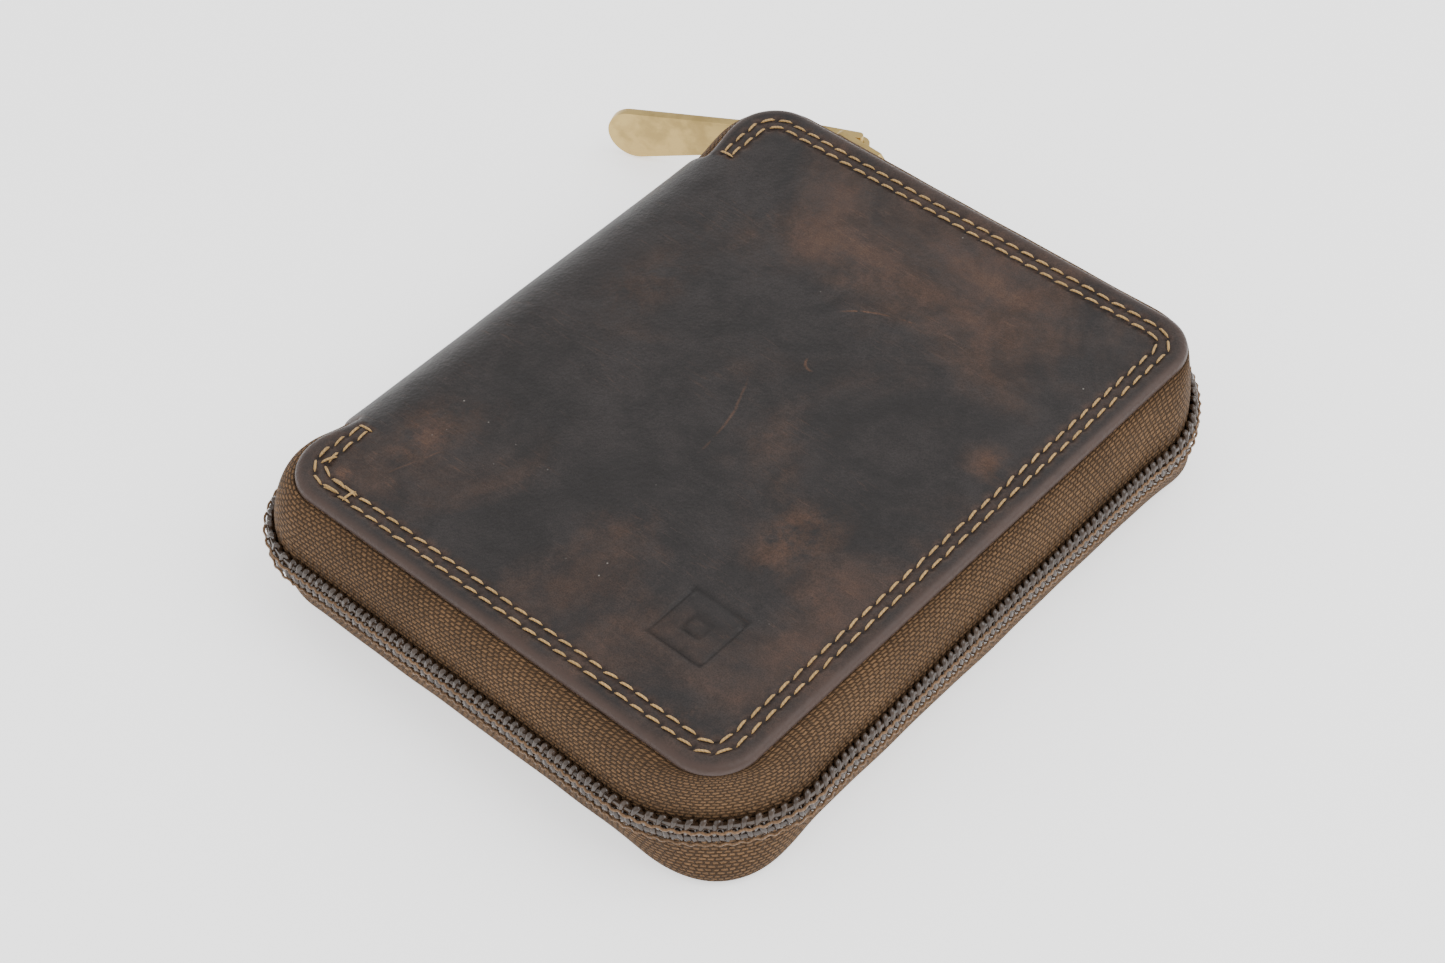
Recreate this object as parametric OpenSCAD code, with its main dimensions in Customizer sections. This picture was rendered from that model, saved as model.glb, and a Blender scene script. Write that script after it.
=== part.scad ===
// Zip-around leather wallet, lying on its back cover with the zip closed.
// X runs from the spine to the opening side, Y along the spine, Z up.
// The origin is the middle of the back cover's outer face.

/* [Overall size] */
// Width of a cover, spine edge to opening edge
wallet_w = 90; // [76:1:108]
// Length of a cover along the spine
wallet_l = 112; // [93:1:135]
// Thickness of the closed wallet
wallet_t = 25; // [23:0.5:30]

/* [Covers] */
// Thickness of the outer leather
leather_t = 1.4; // [1.0:0.1:1.8]
// Thickness of the stiffening board
board_t = 0.4; // [0.3:0.1:0.8]
// Thickness of the lining over the board
lining_t = 0.6; // [0.4:0.1:0.9]
// Radius of the covers' corners
cover_r = 8; // [6:0.5:10]
// Margin between the board and the cover's edge
board_inset = 4.5; // [3.5:0.5:8]
// Length of the stitched ear from the cover's short edge to the spine slit
ear_l = 16.5; // [15:0.5:20]
// Distance from the spine edge to where the spine starts to curve
spine_start = 7; // [6:0.5:9]

/* [Stitching] */
// Distance of the outer row of stitches from the edge
stitch_inset = 3.1; // [2:0.1:3.5]
// Distance between the two rows
stitch_row_gap = 1.7; // [1.2:0.1:2.5]
// Length of one stitch with its gap
stitch_pitch = 3; // [2.5:0.1:3.6]
// Thickness of the thread
thread_d = 0.5; // [0.3:0.05:0.6]

/* [Main zip] */
// Thickness of the woven tape
tape_t = 0.8; // [0.6:0.1:1.0]
// How far the tape bulges past the covers' edge
tape_bulge = 4.4; // [3.5:0.1:6]
// Width of the tape sewn in under the cover
tape_hem = 5; // [3:0.5:6.5]
// Distance of the zip's corner centre from the edges at the opening side
zip_corner_r = 13.7; // [12:0.1:18]
// Half width of the closed chain
chain_half_w = 3.1; // [2.8:0.1:3.4]
// Thickness of the coils
coil_t = 2.0; // [1.6:0.1:2.4]
// Half of the gap between the two coils
coil_gap = 0.75; // [0.6:0.05:0.9]

/* [Slider and pull] */
// Length of the slider
slider_l = 10.5; // [9:0.5:13]
// Thickness of the slider's wings
wing_t = 1.2; // [0.9:0.1:1.5]
// Length of the link between its two bars
link_l = 8; // [6.5:0.5:11]
// Thickness of the link and the pull tab
pull_t = 1.5; // [1.2:0.1:1.8]
// Length of the pull tab from its knuckle to the centre of its round tip
tab_l = 34.5; // [24:0.5:40]
// Radius of the tab's round tip
tab_tip_r = 4.8; // [4:0.1:5.5]
// Angle of the link, inwards from the line of the chain
link_angle = 24; // [10:1:25]
// Angle of the tab, inwards from the line of the chain
tab_angle = 22; // [8:0.5:26]
// Angle by which the tab droops
tab_droop = 12; // [8:0.1:12.5]

/* [Card side] */
// Thickness of a card panel
card_t = 0.9; // [0.7:0.1:1.0]
// Step between two card mouths
card_step = 11; // [8:0.5:12]
// Height of the note compartment
note_gap = 0.8; // [0.5:0.1:1.2]
// Margin between the inner panels and the covers' short edges
panel_margin = 8; // [7:0.5:12]

/* [Coin side] */
// Inner height of the coin pocket
coin_gap = 2.6; // [2.2:0.1:3.2]
// Thickness of the coin pocket's leather front
coin_front_t = 1.2; // [1.0:0.1:1.4]
// Distance of the coin zip from the opening edge
coin_zip_inset = 21; // [18:0.5:26]
// Length of the coin zip's mouth
coin_zip_l = 84; // [60:1:86]
// Half width of the coin zip's mouth
coin_mouth = 3.4; // [3.2:0.1:4]
// Half width of the coin zip's closed chain
coin_chain = 2.1; // [1.8:0.1:2.2]
// Thickness of the coin zip's coils
coin_coil_t = 1.3; // [1.0:0.1:1.4]
// Length of the coin zip's pull
coin_pull_l = 5.6; // [4:0.1:6]

/* [Fits] */
// Gap between pieces that move past each other
clear = 0.35; // [0.3:0.05:0.45]
// Radius of the link's bars
bar_r = 0.75; // [0.6:0.05:0.75]
// Radial play of a bar in its eye
eye_play = 0.08; // [0.04:0.01:0.1]

/* [Hidden] */

hx = wallet_w / 2;
hy = wallet_l / 2;
mid_z = wallet_t / 2;
cover_t = leather_t + board_t + lining_t;

// The spine is a half round between the covers
spine_r = wallet_t / 2;
spine_x = -hx + spine_start;
spine_half_l = hy - ear_l;
slit = 0.4;
fold_gap = 0.3;
fold_gap_deg = fold_gap / spine_r * 180 / PI;

// Zip path
tape_h = mid_z - cover_t;
end_split = 35;
end_split_gap = 1.6;
coil_z0 = tape_bulge;
end_coil_t = spine_r - spine_start - tape_bulge - 0.2;
chain_y = hy + tape_bulge;
side_x0 = -hx + cover_r;
side_x1 = hx - zip_corner_r;

// The slider is parked at the spine end of the far side
slider_x = side_x0 + slider_l / 2 + 0.3;
coil_far_x0 = slider_x + slider_l / 2 + 1.8;
wing_z = coil_t + clear;
bail_l = 6.6;
bail_w = 2.4;
bail_hole_z = wing_z + wing_t + 2.3;
bail_hole_x = 2.65 - slider_l / 2;
bail_x = -1.0;
eye_r = bar_r + eye_play;
link_arm = 1.4;
link_half_w = bail_w / 2 + 0.3 + link_arm;

// Inner panels
panel_x0 = spine_x + 3;
panel_y = hy - panel_margin;
panel_x1 = hx - 7;
panel_r = 4;
note_t = 0.7;
card_z0 = cover_t + note_gap + note_t;

// Coin pocket, measured down from the front cover's inner face
coin_back_t = 0.7;
coin_top_z = wallet_t - cover_t;
coin_face_z = coin_top_z - coin_back_t - coin_gap - coin_front_t;
coin_zip_x = hx - coin_zip_inset;
coin_tape_t = 0.5;
coin_gap_half = 0.6;
coin_tape_z = coin_face_z + coin_front_t;
coin_slider_l = 8;
coin_wing_t = 0.9;
coin_slider_y = -coin_zip_l / 2 + coin_slider_l / 2 + 2.5;
coin_bail_hole_z = coin_coil_t + clear + coin_wing_t + 1.25;
coin_bar_r = 0.5;
id_x1 = coin_zip_x - coin_mouth - 7;
id_frame_t = 0.8;
id_sheet_t = 0.3;
id_margin_x = 7;
id_margin_y = 9;

leather_col = [0.27, 0.24, 0.23];
board_col = [0.75, 0.7, 0.62];
lining_col = [0.36, 0.27, 0.2];
tape_col = [0.42, 0.32, 0.24];
coil_col = [0.2, 0.17, 0.15];
thread_col = [0.79, 0.66, 0.47];
brass_col = [0.71, 0.62, 0.42];

// ---------- shared shapes ----------

module round_rect(x0, x1, y1, r) {
    translate([x0 + r, -y1]) square([x1 - x0 - 2 * r, 2 * y1]);
    translate([x0, -y1 + r]) square([x1 - x0, 2 * y1 - 2 * r]);
    for (x = [x0 + r, x1 - r], y = [-y1 + r, y1 - r])
        translate([x, y]) circle(r, $fn = 48);
}

// Outline of a cover: round corners all round, cut back between the spine slits
module cover_outline() {
    difference() {
        round_rect(-hx, hx, hy, cover_r);
        translate([-hx - 1, -spine_half_l - slit])
            square([spine_start + 1, 2 * (spine_half_l + slit)]);
    }
}

module board_outline() {
    round_rect(spine_x + 1, hx - board_inset, hy - board_inset, cover_r - 2);
}

// Ring sector about the spine's centre line. 0 degrees is straight down,
// 90 is outwards and 180 is straight up.
module spine_arc(a0, a1, r0, r1, half_l) {
    translate([spine_x, 0, mid_z])
        rotate([90, 0, 0]) rotate([0, 0, 270 - a1])
            rotate_extrude(angle = a1 - a0, $fn = 96)
                translate([r0, -half_l]) square([r1 - r0, 2 * half_l]);
}

// Puts a lower piece in the upper half
module to_upper() {
    translate([0, 0, wallet_t]) mirror([0, 0, 1]) children();
}

// Profile runs along one side; x of the profile is the distance out from the edge
module along_far_side(x0, x1) {
    translate([x0, hy, 0]) rotate([90, 0, 90]) linear_extrude(x1 - x0) children();
}

module along_opening_side(y0, y1) {
    translate([hx, y1, 0]) rotate([90, 0, 0]) linear_extrude(y1 - y0) children();
}

module round_far_corner() {
    translate([hx - zip_corner_r, hy - zip_corner_r, 0])
        rotate_extrude(angle = 90, $fn = 96) translate([zip_corner_r, 0]) children();
}

module round_spine_corner(a0, a1) {
    translate([-hx + cover_r, hy - cover_r, 0]) rotate([0, 0, 90 + a0])
        rotate_extrude(angle = a1 - a0, $fn = 96) translate([cover_r, 0]) children();
}

module along_spine_side(y0, y1) {
    translate([-hx, y0, 0]) rotate([90, 0, 180]) linear_extrude(y1 - y0) children();
}

// Half of the zip path on the far side of the wallet, from x0 round to y = 0
module far_half(x0) {
    along_far_side(x0, side_x1) children();
    round_far_corner() children();
    along_opening_side(0, hy - zip_corner_r) children();
}

// ---------- profiles of the main zip ----------

// Quarter ellipse from the cover's inner face out to the crest
function bulge_pts(out, rise, base, gap, steps) =
    [for (i = [0:steps]) let(a = i / steps * acos(gap / rise))
        [out * sin(a), base + rise * (1 - cos(a))]];

module tape_profile(hem) {
    steps = 9;
    outer = bulge_pts(tape_bulge, tape_h, cover_t, coil_gap, steps);
    inner = bulge_pts(tape_bulge - tape_t, tape_h - tape_t, cover_t + tape_t, coil_gap, steps);
    polygon(concat([[-hem, cover_t]], outer,
                   [for (i = [steps:-1:0]) inner[i]], [[-hem, cover_t + tape_t]]));
}

module coil_profile() {
    edge = 0.5;
    z0 = mid_z - chain_half_w;
    z1 = mid_z - coil_gap;
    polygon([[coil_z0, z0], [coil_z0 + coil_t - edge, z0], [coil_z0 + coil_t, z0 + edge],
             [coil_z0 + coil_t, z1 - edge / 2], [coil_z0 + coil_t - edge / 2, z1], [coil_z0, z1]]);
}

// The whole bulge in one piece
module end_profile() {
    steps = 16;
    start = 6;
    turn = [for (i = [0:steps]) start + i / steps * (180 - 2 * start)];
    polygon(concat(
        [for (a = turn) [tape_bulge * sin(a), mid_z - tape_h * cos(a)]],
        [for (i = [steps:-1:0])
            [(tape_bulge - tape_t) * sin(turn[i]), mid_z - (tape_h - tape_t) * cos(turn[i])]]));
}

// ---------- covers ----------

module cover_leather() {
    linear_extrude(leather_t) cover_outline();
    spine_arc(0, 45, spine_r - leather_t, spine_r, spine_half_l);
}

module cover_board() {
    translate([0, 0, leather_t]) linear_extrude(board_t) board_outline();
}

module cover_lining() {
    difference() {
        translate([0, 0, leather_t]) linear_extrude(board_t + lining_t) cover_outline();
        cover_board();
    }
}

module back_cover() { color(leather_col) cover_leather(); }
module back_board() { color(board_col) cover_board(); }
module back_lining() { color(lining_col) cover_lining(); }
module front_cover() { color(leather_col) to_upper() cover_leather(); }
module front_board() { color(board_col) to_upper() cover_board(); }
module front_lining() { color(lining_col) to_upper() cover_lining(); }

module spine_leather() {
    color(leather_col)
        spine_arc(45 + fold_gap_deg, 135 - fold_gap_deg, spine_r - leather_t, spine_r, spine_half_l);
}

module spine_lining() {
    color(lining_col)
        spine_arc(46 + fold_gap_deg, 134 - fold_gap_deg,
                  spine_r - leather_t - lining_t, spine_r - leather_t, spine_half_l - 1);
}

// One raised stitch, along X
module stitch() {
    l = stitch_pitch * 0.8;
    translate([-l / 2, -thread_d / 2, 0]) cube([l, thread_d, thread_d * 0.6]);
}

module stitch_line(a, b) {
    d = b - a;
    n = floor(norm(d) / stitch_pitch);
    for (i = [0:n - 1])
        translate([for (k = [0:1]) a[k] + d[k] * (i + 0.5) / n])
            rotate([0, 0, atan2(d[1], d[0])]) stitch();
}

module stitch_corner(c, r, a0) {
    n = max(2, round(r * PI / 2 / stitch_pitch));
    for (i = [0:n - 1])
        let(a = a0 + 90 * (i + 0.5) / n)
            translate([c[0] + r * cos(a), c[1] + r * sin(a)]) rotate([0, 0, a + 90]) stitch();
}

module cover_stitching() {
    color(thread_col) translate([0, 0, wallet_t])
        for (row = [0, 1]) {
            in = stitch_inset + row * stitch_row_gap;
            r = cover_r - in;
            cx = hx - cover_r;
            cy = hy - cover_r;
            stitch_line([hx - in, -cy], [hx - in, cy]);
            for (s = [-1, 1]) {
                stitch_line([-cx, s * (hy - in)], [cx, s * (hy - in)]);
                stitch_line([-hx + in, s * cy], [-hx + in, s * (spine_half_l + slit)]);
            }
            stitch_corner([cx, cy], r, 0);
            stitch_corner([-cx, cy], r, 90);
            stitch_corner([-cx, -cy], r, 180);
            stitch_corner([cx, -cy], r, 270);
        }
}

// ---------- main zip ----------

module zip_tape() {
    for (s = [0, 1])
        mirror([0, s, 0]) {
            far_half(side_x0) tape_profile(tape_hem);
            round_spine_corner(0, end_split) tape_profile(tape_hem);
        }
}

module zip_coil() {
    far_half(coil_far_x0) coil_profile();
    mirror([0, 1, 0]) {
        far_half(side_x0) coil_profile();
        round_spine_corner(0, end_split) coil_profile();
    }
}

// Metal clamp at the end of a coil, just past the parked slider
module top_stop() {
    round_spine_corner(3, 12)
        translate([coil_z0, mid_z - chain_half_w + 0.2])
            square([coil_t - 0.3, chain_half_w - coil_gap - 0.2]);
}

module zip_end() {
    round_spine_corner(end_split + end_split_gap, 90) children();
    along_spine_side(spine_half_l + slit, hy - cover_r) children();
}

module lower_zip_tape() { color(tape_col) zip_tape(); }
module upper_zip_tape() { color(tape_col) to_upper() zip_tape(); }
module lower_zip_coil() { color(coil_col) zip_coil(); }
module upper_zip_coil() { color(coil_col) to_upper() zip_coil(); }
module lower_top_stop() { color(brass_col) top_stop(); }
module upper_top_stop() { color(brass_col) to_upper() top_stop(); }
// The ends are the same above and below, so a half turn makes the near one
module to_near_end() {
    translate([0, 0, wallet_t]) rotate([180, 0, 0]) children();
}

module near_zip_end() { color(tape_col) to_near_end() zip_end() end_profile(); }
module far_zip_end() { color(tape_col) zip_end() end_profile(); }

// Plan of the chain's closed end, flat enough to stay inside the spine
module end_coil_plan() {
    seat = 0.05;
    r0 = cover_r + tape_bulge + seat;
    a = end_split + end_split_gap;
    far = 3 * r0;
    translate([-hx + cover_r, -hy + cover_r]) {
        intersection() {
            difference() {
                circle(r0 + end_coil_t, $fn = 96);
                circle(r0, $fn = 96);
            }
            polygon([[0, 0], [-far * sin(a), -far * cos(a)], [-far, -far * cos(a)], [-far, 0]]);
        }
        translate([-r0 - end_coil_t, 0]) square([end_coil_t, ear_l - cover_r - slit]);
    }
}

module near_coil_end() {
    color(coil_col) translate([0, 0, mid_z - chain_half_w])
        linear_extrude(2 * chain_half_w) end_coil_plan();
}

// Metal staple inside the tapes that holds the chain's near end together
module bottom_stop() {
    staple_t = 0.7;
    seat = 0.15;
    color(brass_col) to_near_end()
        along_spine_side(spine_half_l + slit + 1.5, spine_half_l + slit + 4)
            translate([tape_bulge - tape_t - staple_t - seat, mid_z - 2 * coil_gap])
                square([staple_t, 4 * coil_gap]);
}

// ---------- sliders ----------

// Slider about a chain that runs along X on a tape whose outer face is z = 0.
// The nose is at -X. The post between the wings runs in the gap of the chain.
module slider_shape(l, half_w, coil_h, tape_h, wing, gap_post) {
    z1 = coil_h + clear;
    out_w = half_w + clear + wing;
    in_w = half_w + clear / 2;
    nose_r = 1.6;
    translate([0, 0, z1]) linear_extrude(wing) {
        polygon([[-l / 2 + nose_r, -out_w], [l / 2 - 1, -out_w + 0.5], [l / 2, -out_w + 1.5],
                 [l / 2, out_w - 1.5], [l / 2 - 1, out_w - 0.5], [-l / 2 + nose_r, out_w]]);
        translate([-l / 2, -out_w + nose_r]) square([nose_r, 2 * out_w - 2 * nose_r]);
        for (s = [-1, 1])
            translate([-l / 2 + nose_r, s * (out_w - nose_r)]) circle(nose_r, $fn = 32);
    }
    for (s = [0, 1])
        mirror([0, s, 0])
            translate([-l / 2 + nose_r, half_w + clear, clear])
                cube([l - nose_r - 1, wing - 0.5, coil_h + wing / 2]);
    translate([-l / 2 + 0.6, -in_w, -tape_h - clear - wing - 0.15])
        cube([l - 1.2, 2 * in_w, wing]);
    translate([-l / 2 + 0.8, -gap_post, -tape_h - clear - wing / 2])
        cube([2.6, 2 * gap_post, tape_h + coil_h + 2 * clear + wing]);
}

// Arch on the slider's outer wing with an eye across it for the link's bar
module bail_shape(l, w, base_z, hole_x, hole_z, hole_r, wall, foot) {
    top_r = hole_r + wall;
    tail = l / 2 + 1;
    crown = hole_z - base_z + 0.6;
    difference() {
        union() {
            translate([bail_x - l / 2, -w / 2, base_z]) cube([l, w, foot]);
            translate([hole_x - top_r, -w / 2, base_z]) cube([2 * top_r, w, hole_z - base_z]);
            translate([hole_x, w / 2, hole_z]) rotate([90, 0, 0]) cylinder(r = top_r, h = w, $fn = 48);
            translate([hole_x, w / 2, base_z]) rotate([90, 0, 0])
                linear_extrude(w) polygon([[0, 0], [tail, 0], [tail, foot], [0, crown]]);
        }
        translate([hole_x, w, hole_z]) rotate([90, 0, 0]) cylinder(r = hole_r, h = 2 * w, $fn = 48);
    }
}

// Main slider's frame: local Z points out of the far side
module at_main_slider() {
    translate([slider_x, chain_y, mid_z]) rotate([-90, 0, 0]) children();
}

module slider_body() {
    color(brass_col) at_main_slider()
        slider_shape(slider_l, chain_half_w, coil_t, tape_t, wing_t, coil_gap - 0.3);
}

module slider_bail() {
    color(brass_col) at_main_slider()
        bail_shape(bail_l, bail_w, wing_z + wing_t, bail_hole_x, bail_hole_z, eye_r, 1.0, 0.8);
}

// ---------- link and pull tab ----------

link_pos = [slider_x + bail_hole_x, chain_y + bail_hole_z, mid_z];
tab_pos = link_pos + link_l * [-cos(link_angle), -sin(link_angle), 0];

// Local X runs along the pull, local Y is up, and local Z is its thickness
module at_pull(pos, angle) {
    translate(pos) rotate([0, 0, 180 + angle]) rotate([90, 0, 0]) children();
}

module pull_link() {
    color(brass_col) at_pull(link_pos, link_angle) {
        for (x = [0, link_l])
            translate([x, link_half_w, 0]) rotate([90, 0, 0])
                cylinder(r = bar_r, h = 2 * link_half_w, $fn = 32);
        for (s = [-1, 1])
            translate([0, s * (link_half_w - link_arm / 2) - link_arm / 2, -bar_r])
                cube([link_l, link_arm, 2 * bar_r]);
    }
}

// Tongue that widens from the neck to a round tip
module tab_outline() {
    neck_r = 2.6;
    neck_x = 6;
    d = tab_l - neck_x;
    b = asin((tab_tip_r - neck_r) / d);
    translate([neck_x, 0]) circle(neck_r, $fn = 48);
    translate([tab_l, 0]) circle(tab_tip_r, $fn = 96);
    polygon([[neck_x - neck_r * sin(b), neck_r * cos(b)],
             [tab_l - tab_tip_r * sin(b), tab_tip_r * cos(b)],
             [tab_l - tab_tip_r * sin(b), -tab_tip_r * cos(b)],
             [neck_x - neck_r * sin(b), -neck_r * cos(b)]]);
}

module pull_tab() {
    eye_w = bail_w / 2;
    wall = 0.9;
    color(brass_col) at_pull(tab_pos, tab_angle)
        difference() {
            union() {
                rotate([0, 0, -tab_droop]) translate([0, 0, -pull_t / 2]) linear_extrude(pull_t) {
                    tab_outline();
                    translate([eye_r, -eye_w * 0.7]) square([5, eye_w * 1.4]);
                }
                translate([0, eye_w, 0]) rotate([90, 0, 0])
                    cylinder(r = eye_r + wall, h = 2 * eye_w, $fn = 48);
            }
            translate([0, 2 * eye_w, 0]) rotate([90, 0, 0])
                cylinder(r = eye_r, h = 4 * eye_w, $fn = 48);
        }
}

// ---------- card side ----------

// Back wall of the card slots, sewn to the lining on three sides
module note_panel() {
    rim = 2;
    color(lining_col) {
        translate([0, 0, cover_t + note_gap]) linear_extrude(note_t)
            round_rect(panel_x0, panel_x1, panel_y, panel_r);
        translate([panel_x0, -panel_y + panel_r, cover_t])
            cube([rim, 2 * (panel_y - panel_r), note_gap]);
        for (s = [0, 1])
            mirror([0, s, 0]) translate([panel_x0 + panel_r, panel_y - rim, cover_t])
                cube([panel_x1 - panel_x0 - 2 * panel_r, rim, note_gap]);
    }
}

module card_panel(i) {
    mouth_x = panel_x1 - 4 - i * card_step;
    color(leather_col) translate([panel_x0, -panel_y + 1, card_z0 + (i - 1) * card_t])
        cube([mouth_x - panel_x0, 2 * panel_y - 2, card_t]);
}

module card_panel_1() { card_panel(1); }
module card_panel_2() { card_panel(2); }
module card_panel_3() { card_panel(3); }
module card_panel_4() { card_panel(4); }

// ---------- coin side ----------

module coin_mouth_2d(extra) {
    translate([coin_zip_x - coin_mouth - extra, -coin_zip_l / 2 - extra])
        square([2 * (coin_mouth + extra), coin_zip_l + 2 * extra]);
}

module coin_pocket_back() {
    color(lining_col) translate([0, 0, coin_top_z - coin_back_t]) linear_extrude(coin_back_t)
        round_rect(panel_x0, panel_x1, panel_y, panel_r);
}

module coin_pocket_rim() {
    rim = 1.5;
    color(lining_col) translate([0, 0, coin_tape_z]) linear_extrude(coin_gap)
        difference() {
            round_rect(panel_x0, panel_x1, panel_y, panel_r);
            round_rect(panel_x0 + rim, panel_x1 - rim, panel_y - rim, panel_r - rim);
        }
}

module coin_pocket_front() {
    color(leather_col) translate([0, 0, coin_face_z]) linear_extrude(coin_front_t)
        difference() {
            round_rect(panel_x0, panel_x1, panel_y, panel_r);
            coin_mouth_2d(0);
        }
}

// The tapes lie behind the mouth and the coils stand on them, facing out
module coin_zip_tapes() {
    tape_w = coin_mouth + 2.2;
    color(tape_col) for (s = [-1, 1])
        translate([coin_zip_x + (s > 0 ? coin_gap_half : -tape_w), -coin_zip_l / 2 - 2, coin_tape_z])
            cube([tape_w - coin_gap_half, coin_zip_l + 4, coin_tape_t]);
}

module coin_zip_coils() {
    color(coil_col) for (s = [-1, 1])
        translate([coin_zip_x + (s > 0 ? coin_gap_half : -coin_chain), -coin_zip_l / 2 + 1.5,
                   coin_tape_z - coin_coil_t])
            cube([coin_chain - coin_gap_half, coin_zip_l - 3, coin_coil_t]);
}

module coin_zip_stops() {
    color(brass_col) for (s = [-1, 1])
        translate([coin_zip_x - coin_chain, s * (coin_zip_l / 2 - 0.75) - 0.65, coin_tape_z - coin_coil_t])
            cube([2 * coin_chain, 1.3, coin_coil_t]);
}

module id_window() {
    color([0.8, 0.85, 0.88, 0.4]) translate([0, 0, coin_face_z - id_sheet_t]) linear_extrude(id_sheet_t)
        round_rect(panel_x0 + 1, id_x1 - 1, panel_y - 3, 2);
}

module id_window_frame() {
    color(leather_col) translate([0, 0, coin_face_z - id_sheet_t - id_frame_t]) linear_extrude(id_frame_t)
        difference() {
            round_rect(panel_x0, id_x1, panel_y - 2, 3);
            round_rect(panel_x0 + id_margin_x, id_x1 - id_margin_x, panel_y - id_margin_y, 3);
        }
}

// Coin slider's frame: local Z points towards the card side, the nose is at -Y
module at_coin_slider() {
    translate([coin_zip_x, coin_slider_y, coin_tape_z]) rotate([0, 0, 90]) mirror([0, 0, 1]) children();
}

module coin_slider_body() {
    color(brass_col) at_coin_slider()
        slider_shape(coin_slider_l, coin_chain, coin_coil_t, coin_tape_t, coin_wing_t, coin_gap_half - 0.3);
}

module coin_slider_bail() {
    color(brass_col) at_coin_slider() translate([1, 0, 0])
        bail_shape(3, 1.8, coin_coil_t + clear + coin_wing_t, -1, coin_bail_hole_z,
                   coin_bar_r + eye_play, 0.65, 0.5);
}

// Small pull whose two arms close on a bar through the bail's eye
module coin_pull() {
    arm = 0.8;
    half_w = 0.9 + 0.25 + arm;
    t = 2 * coin_bar_r;
    color(brass_col) at_coin_slider() translate([0, 0, coin_bail_hole_z]) {
        translate([0, half_w, 0]) rotate([90, 0, 0]) cylinder(r = coin_bar_r, h = 2 * half_w, $fn = 32);
        for (s = [-1, 1])
            translate([0, s * (half_w - arm / 2) - arm / 2, -t / 2]) cube([2.6, arm, t]);
        translate([2.2, 0, -t / 2]) linear_extrude(t) {
            translate([0, -half_w]) square([coin_pull_l - half_w - 0.2, 2 * half_w]);
            translate([coin_pull_l - half_w - 0.2, 0]) circle(half_w, $fn = 48);
        }
    }
}

back_cover();
back_board();
back_lining();
note_panel();
card_panel_1();
card_panel_2();
card_panel_3();
card_panel_4();
lower_zip_tape();
lower_zip_coil();
lower_top_stop();
spine_leather();
spine_lining();
near_zip_end();
far_zip_end();
near_coil_end();
bottom_stop();
front_cover();
front_board();
front_lining();
cover_stitching();
upper_zip_tape();
upper_zip_coil();
upper_top_stop();
coin_pocket_back();
coin_pocket_rim();
coin_pocket_front();
coin_zip_tapes();
coin_zip_coils();
coin_zip_stops();
id_window();
id_window_frame();
slider_body();
slider_bail();
pull_link();
pull_tab();
coin_slider_body();
coin_slider_bail();
coin_pull();
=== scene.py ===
"""Zip-around leather wallet, modelled round its CAD frame. Lengths in the code are in
millimetres, with X from the spine to the opening side, Y along the spine and Z up, and
become metres where a mesh is made."""

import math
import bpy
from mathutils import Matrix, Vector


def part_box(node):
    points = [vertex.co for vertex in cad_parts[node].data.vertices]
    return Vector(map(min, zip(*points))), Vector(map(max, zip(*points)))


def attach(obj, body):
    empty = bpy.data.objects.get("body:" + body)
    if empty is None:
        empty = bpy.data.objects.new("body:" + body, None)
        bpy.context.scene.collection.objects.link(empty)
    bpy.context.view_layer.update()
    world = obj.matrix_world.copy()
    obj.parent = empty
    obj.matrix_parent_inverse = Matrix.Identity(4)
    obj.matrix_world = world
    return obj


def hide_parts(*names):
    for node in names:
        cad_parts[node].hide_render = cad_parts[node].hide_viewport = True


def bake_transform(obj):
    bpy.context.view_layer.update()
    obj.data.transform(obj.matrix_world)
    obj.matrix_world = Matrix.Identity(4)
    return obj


bl_info = {
    "name": "Zip-around wallet",
    "version": (1, 0, 0),
    "blender": (4, 5, 0),
    "location": "View3D > Sidebar > Wallet",
    "description": "Builds a zip-around leather wallet round its CAD frame",
    "category": "Add Mesh",
}

import bpy
import numpy as np
from bpy.props import FloatProperty, FloatVectorProperty, PointerProperty
from mathutils import Matrix, Vector

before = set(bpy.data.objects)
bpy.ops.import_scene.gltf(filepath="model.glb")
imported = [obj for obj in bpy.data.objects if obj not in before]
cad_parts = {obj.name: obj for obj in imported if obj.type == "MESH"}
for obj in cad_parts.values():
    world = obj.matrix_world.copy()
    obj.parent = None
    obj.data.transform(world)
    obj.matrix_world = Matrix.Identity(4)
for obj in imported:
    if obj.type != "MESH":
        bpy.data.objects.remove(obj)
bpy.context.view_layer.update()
MM = 0.001


def box_mm(node):
    """Lowest and highest corner of a CAD node, in millimetres."""
    low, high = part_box(node)
    return np.array(low) / MM, np.array(high) / MM


# Places taken from the frame
HALF_W, HALF_L, THICK = box_mm("front_cover")[1]
MID = THICK / 2
COVER_T = THICK - box_mm("front_lining")[0][2]
LEATHER_T = THICK - box_mm("front_lining")[1][2]
SPINE_HALF_L = box_mm("spine_leather")[1][1]
SPINE_R = MID
SPINE_X = box_mm("spine_leather")[0][0] + SPINE_R
CREST_U = SPINE_X - math.pi / 2 * SPINE_R
BULGE = box_mm("upper_zip_tape")[1][1] - HALF_L
SLIDER_X = sum(box_mm("slider_body")[i][0] for i in (0, 1)) / 2
EDGE_T = 1.35  # thickness of the turned leather edge
ROW_START = SPINE_HALF_L + 1.2  # where the rows of stitches end beside the spine


# ---------- sizes and colours ----------


def length_mm(name, text, default, low=0.0, high=50.0):
    return FloatProperty(name=name, description=text, default=default, min=low, max=high)


def tint(name, text, default):
    return FloatVectorProperty(
        name=name, description=text, default=default, subtype="COLOR", size=3, min=0, max=1
    )


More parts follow.
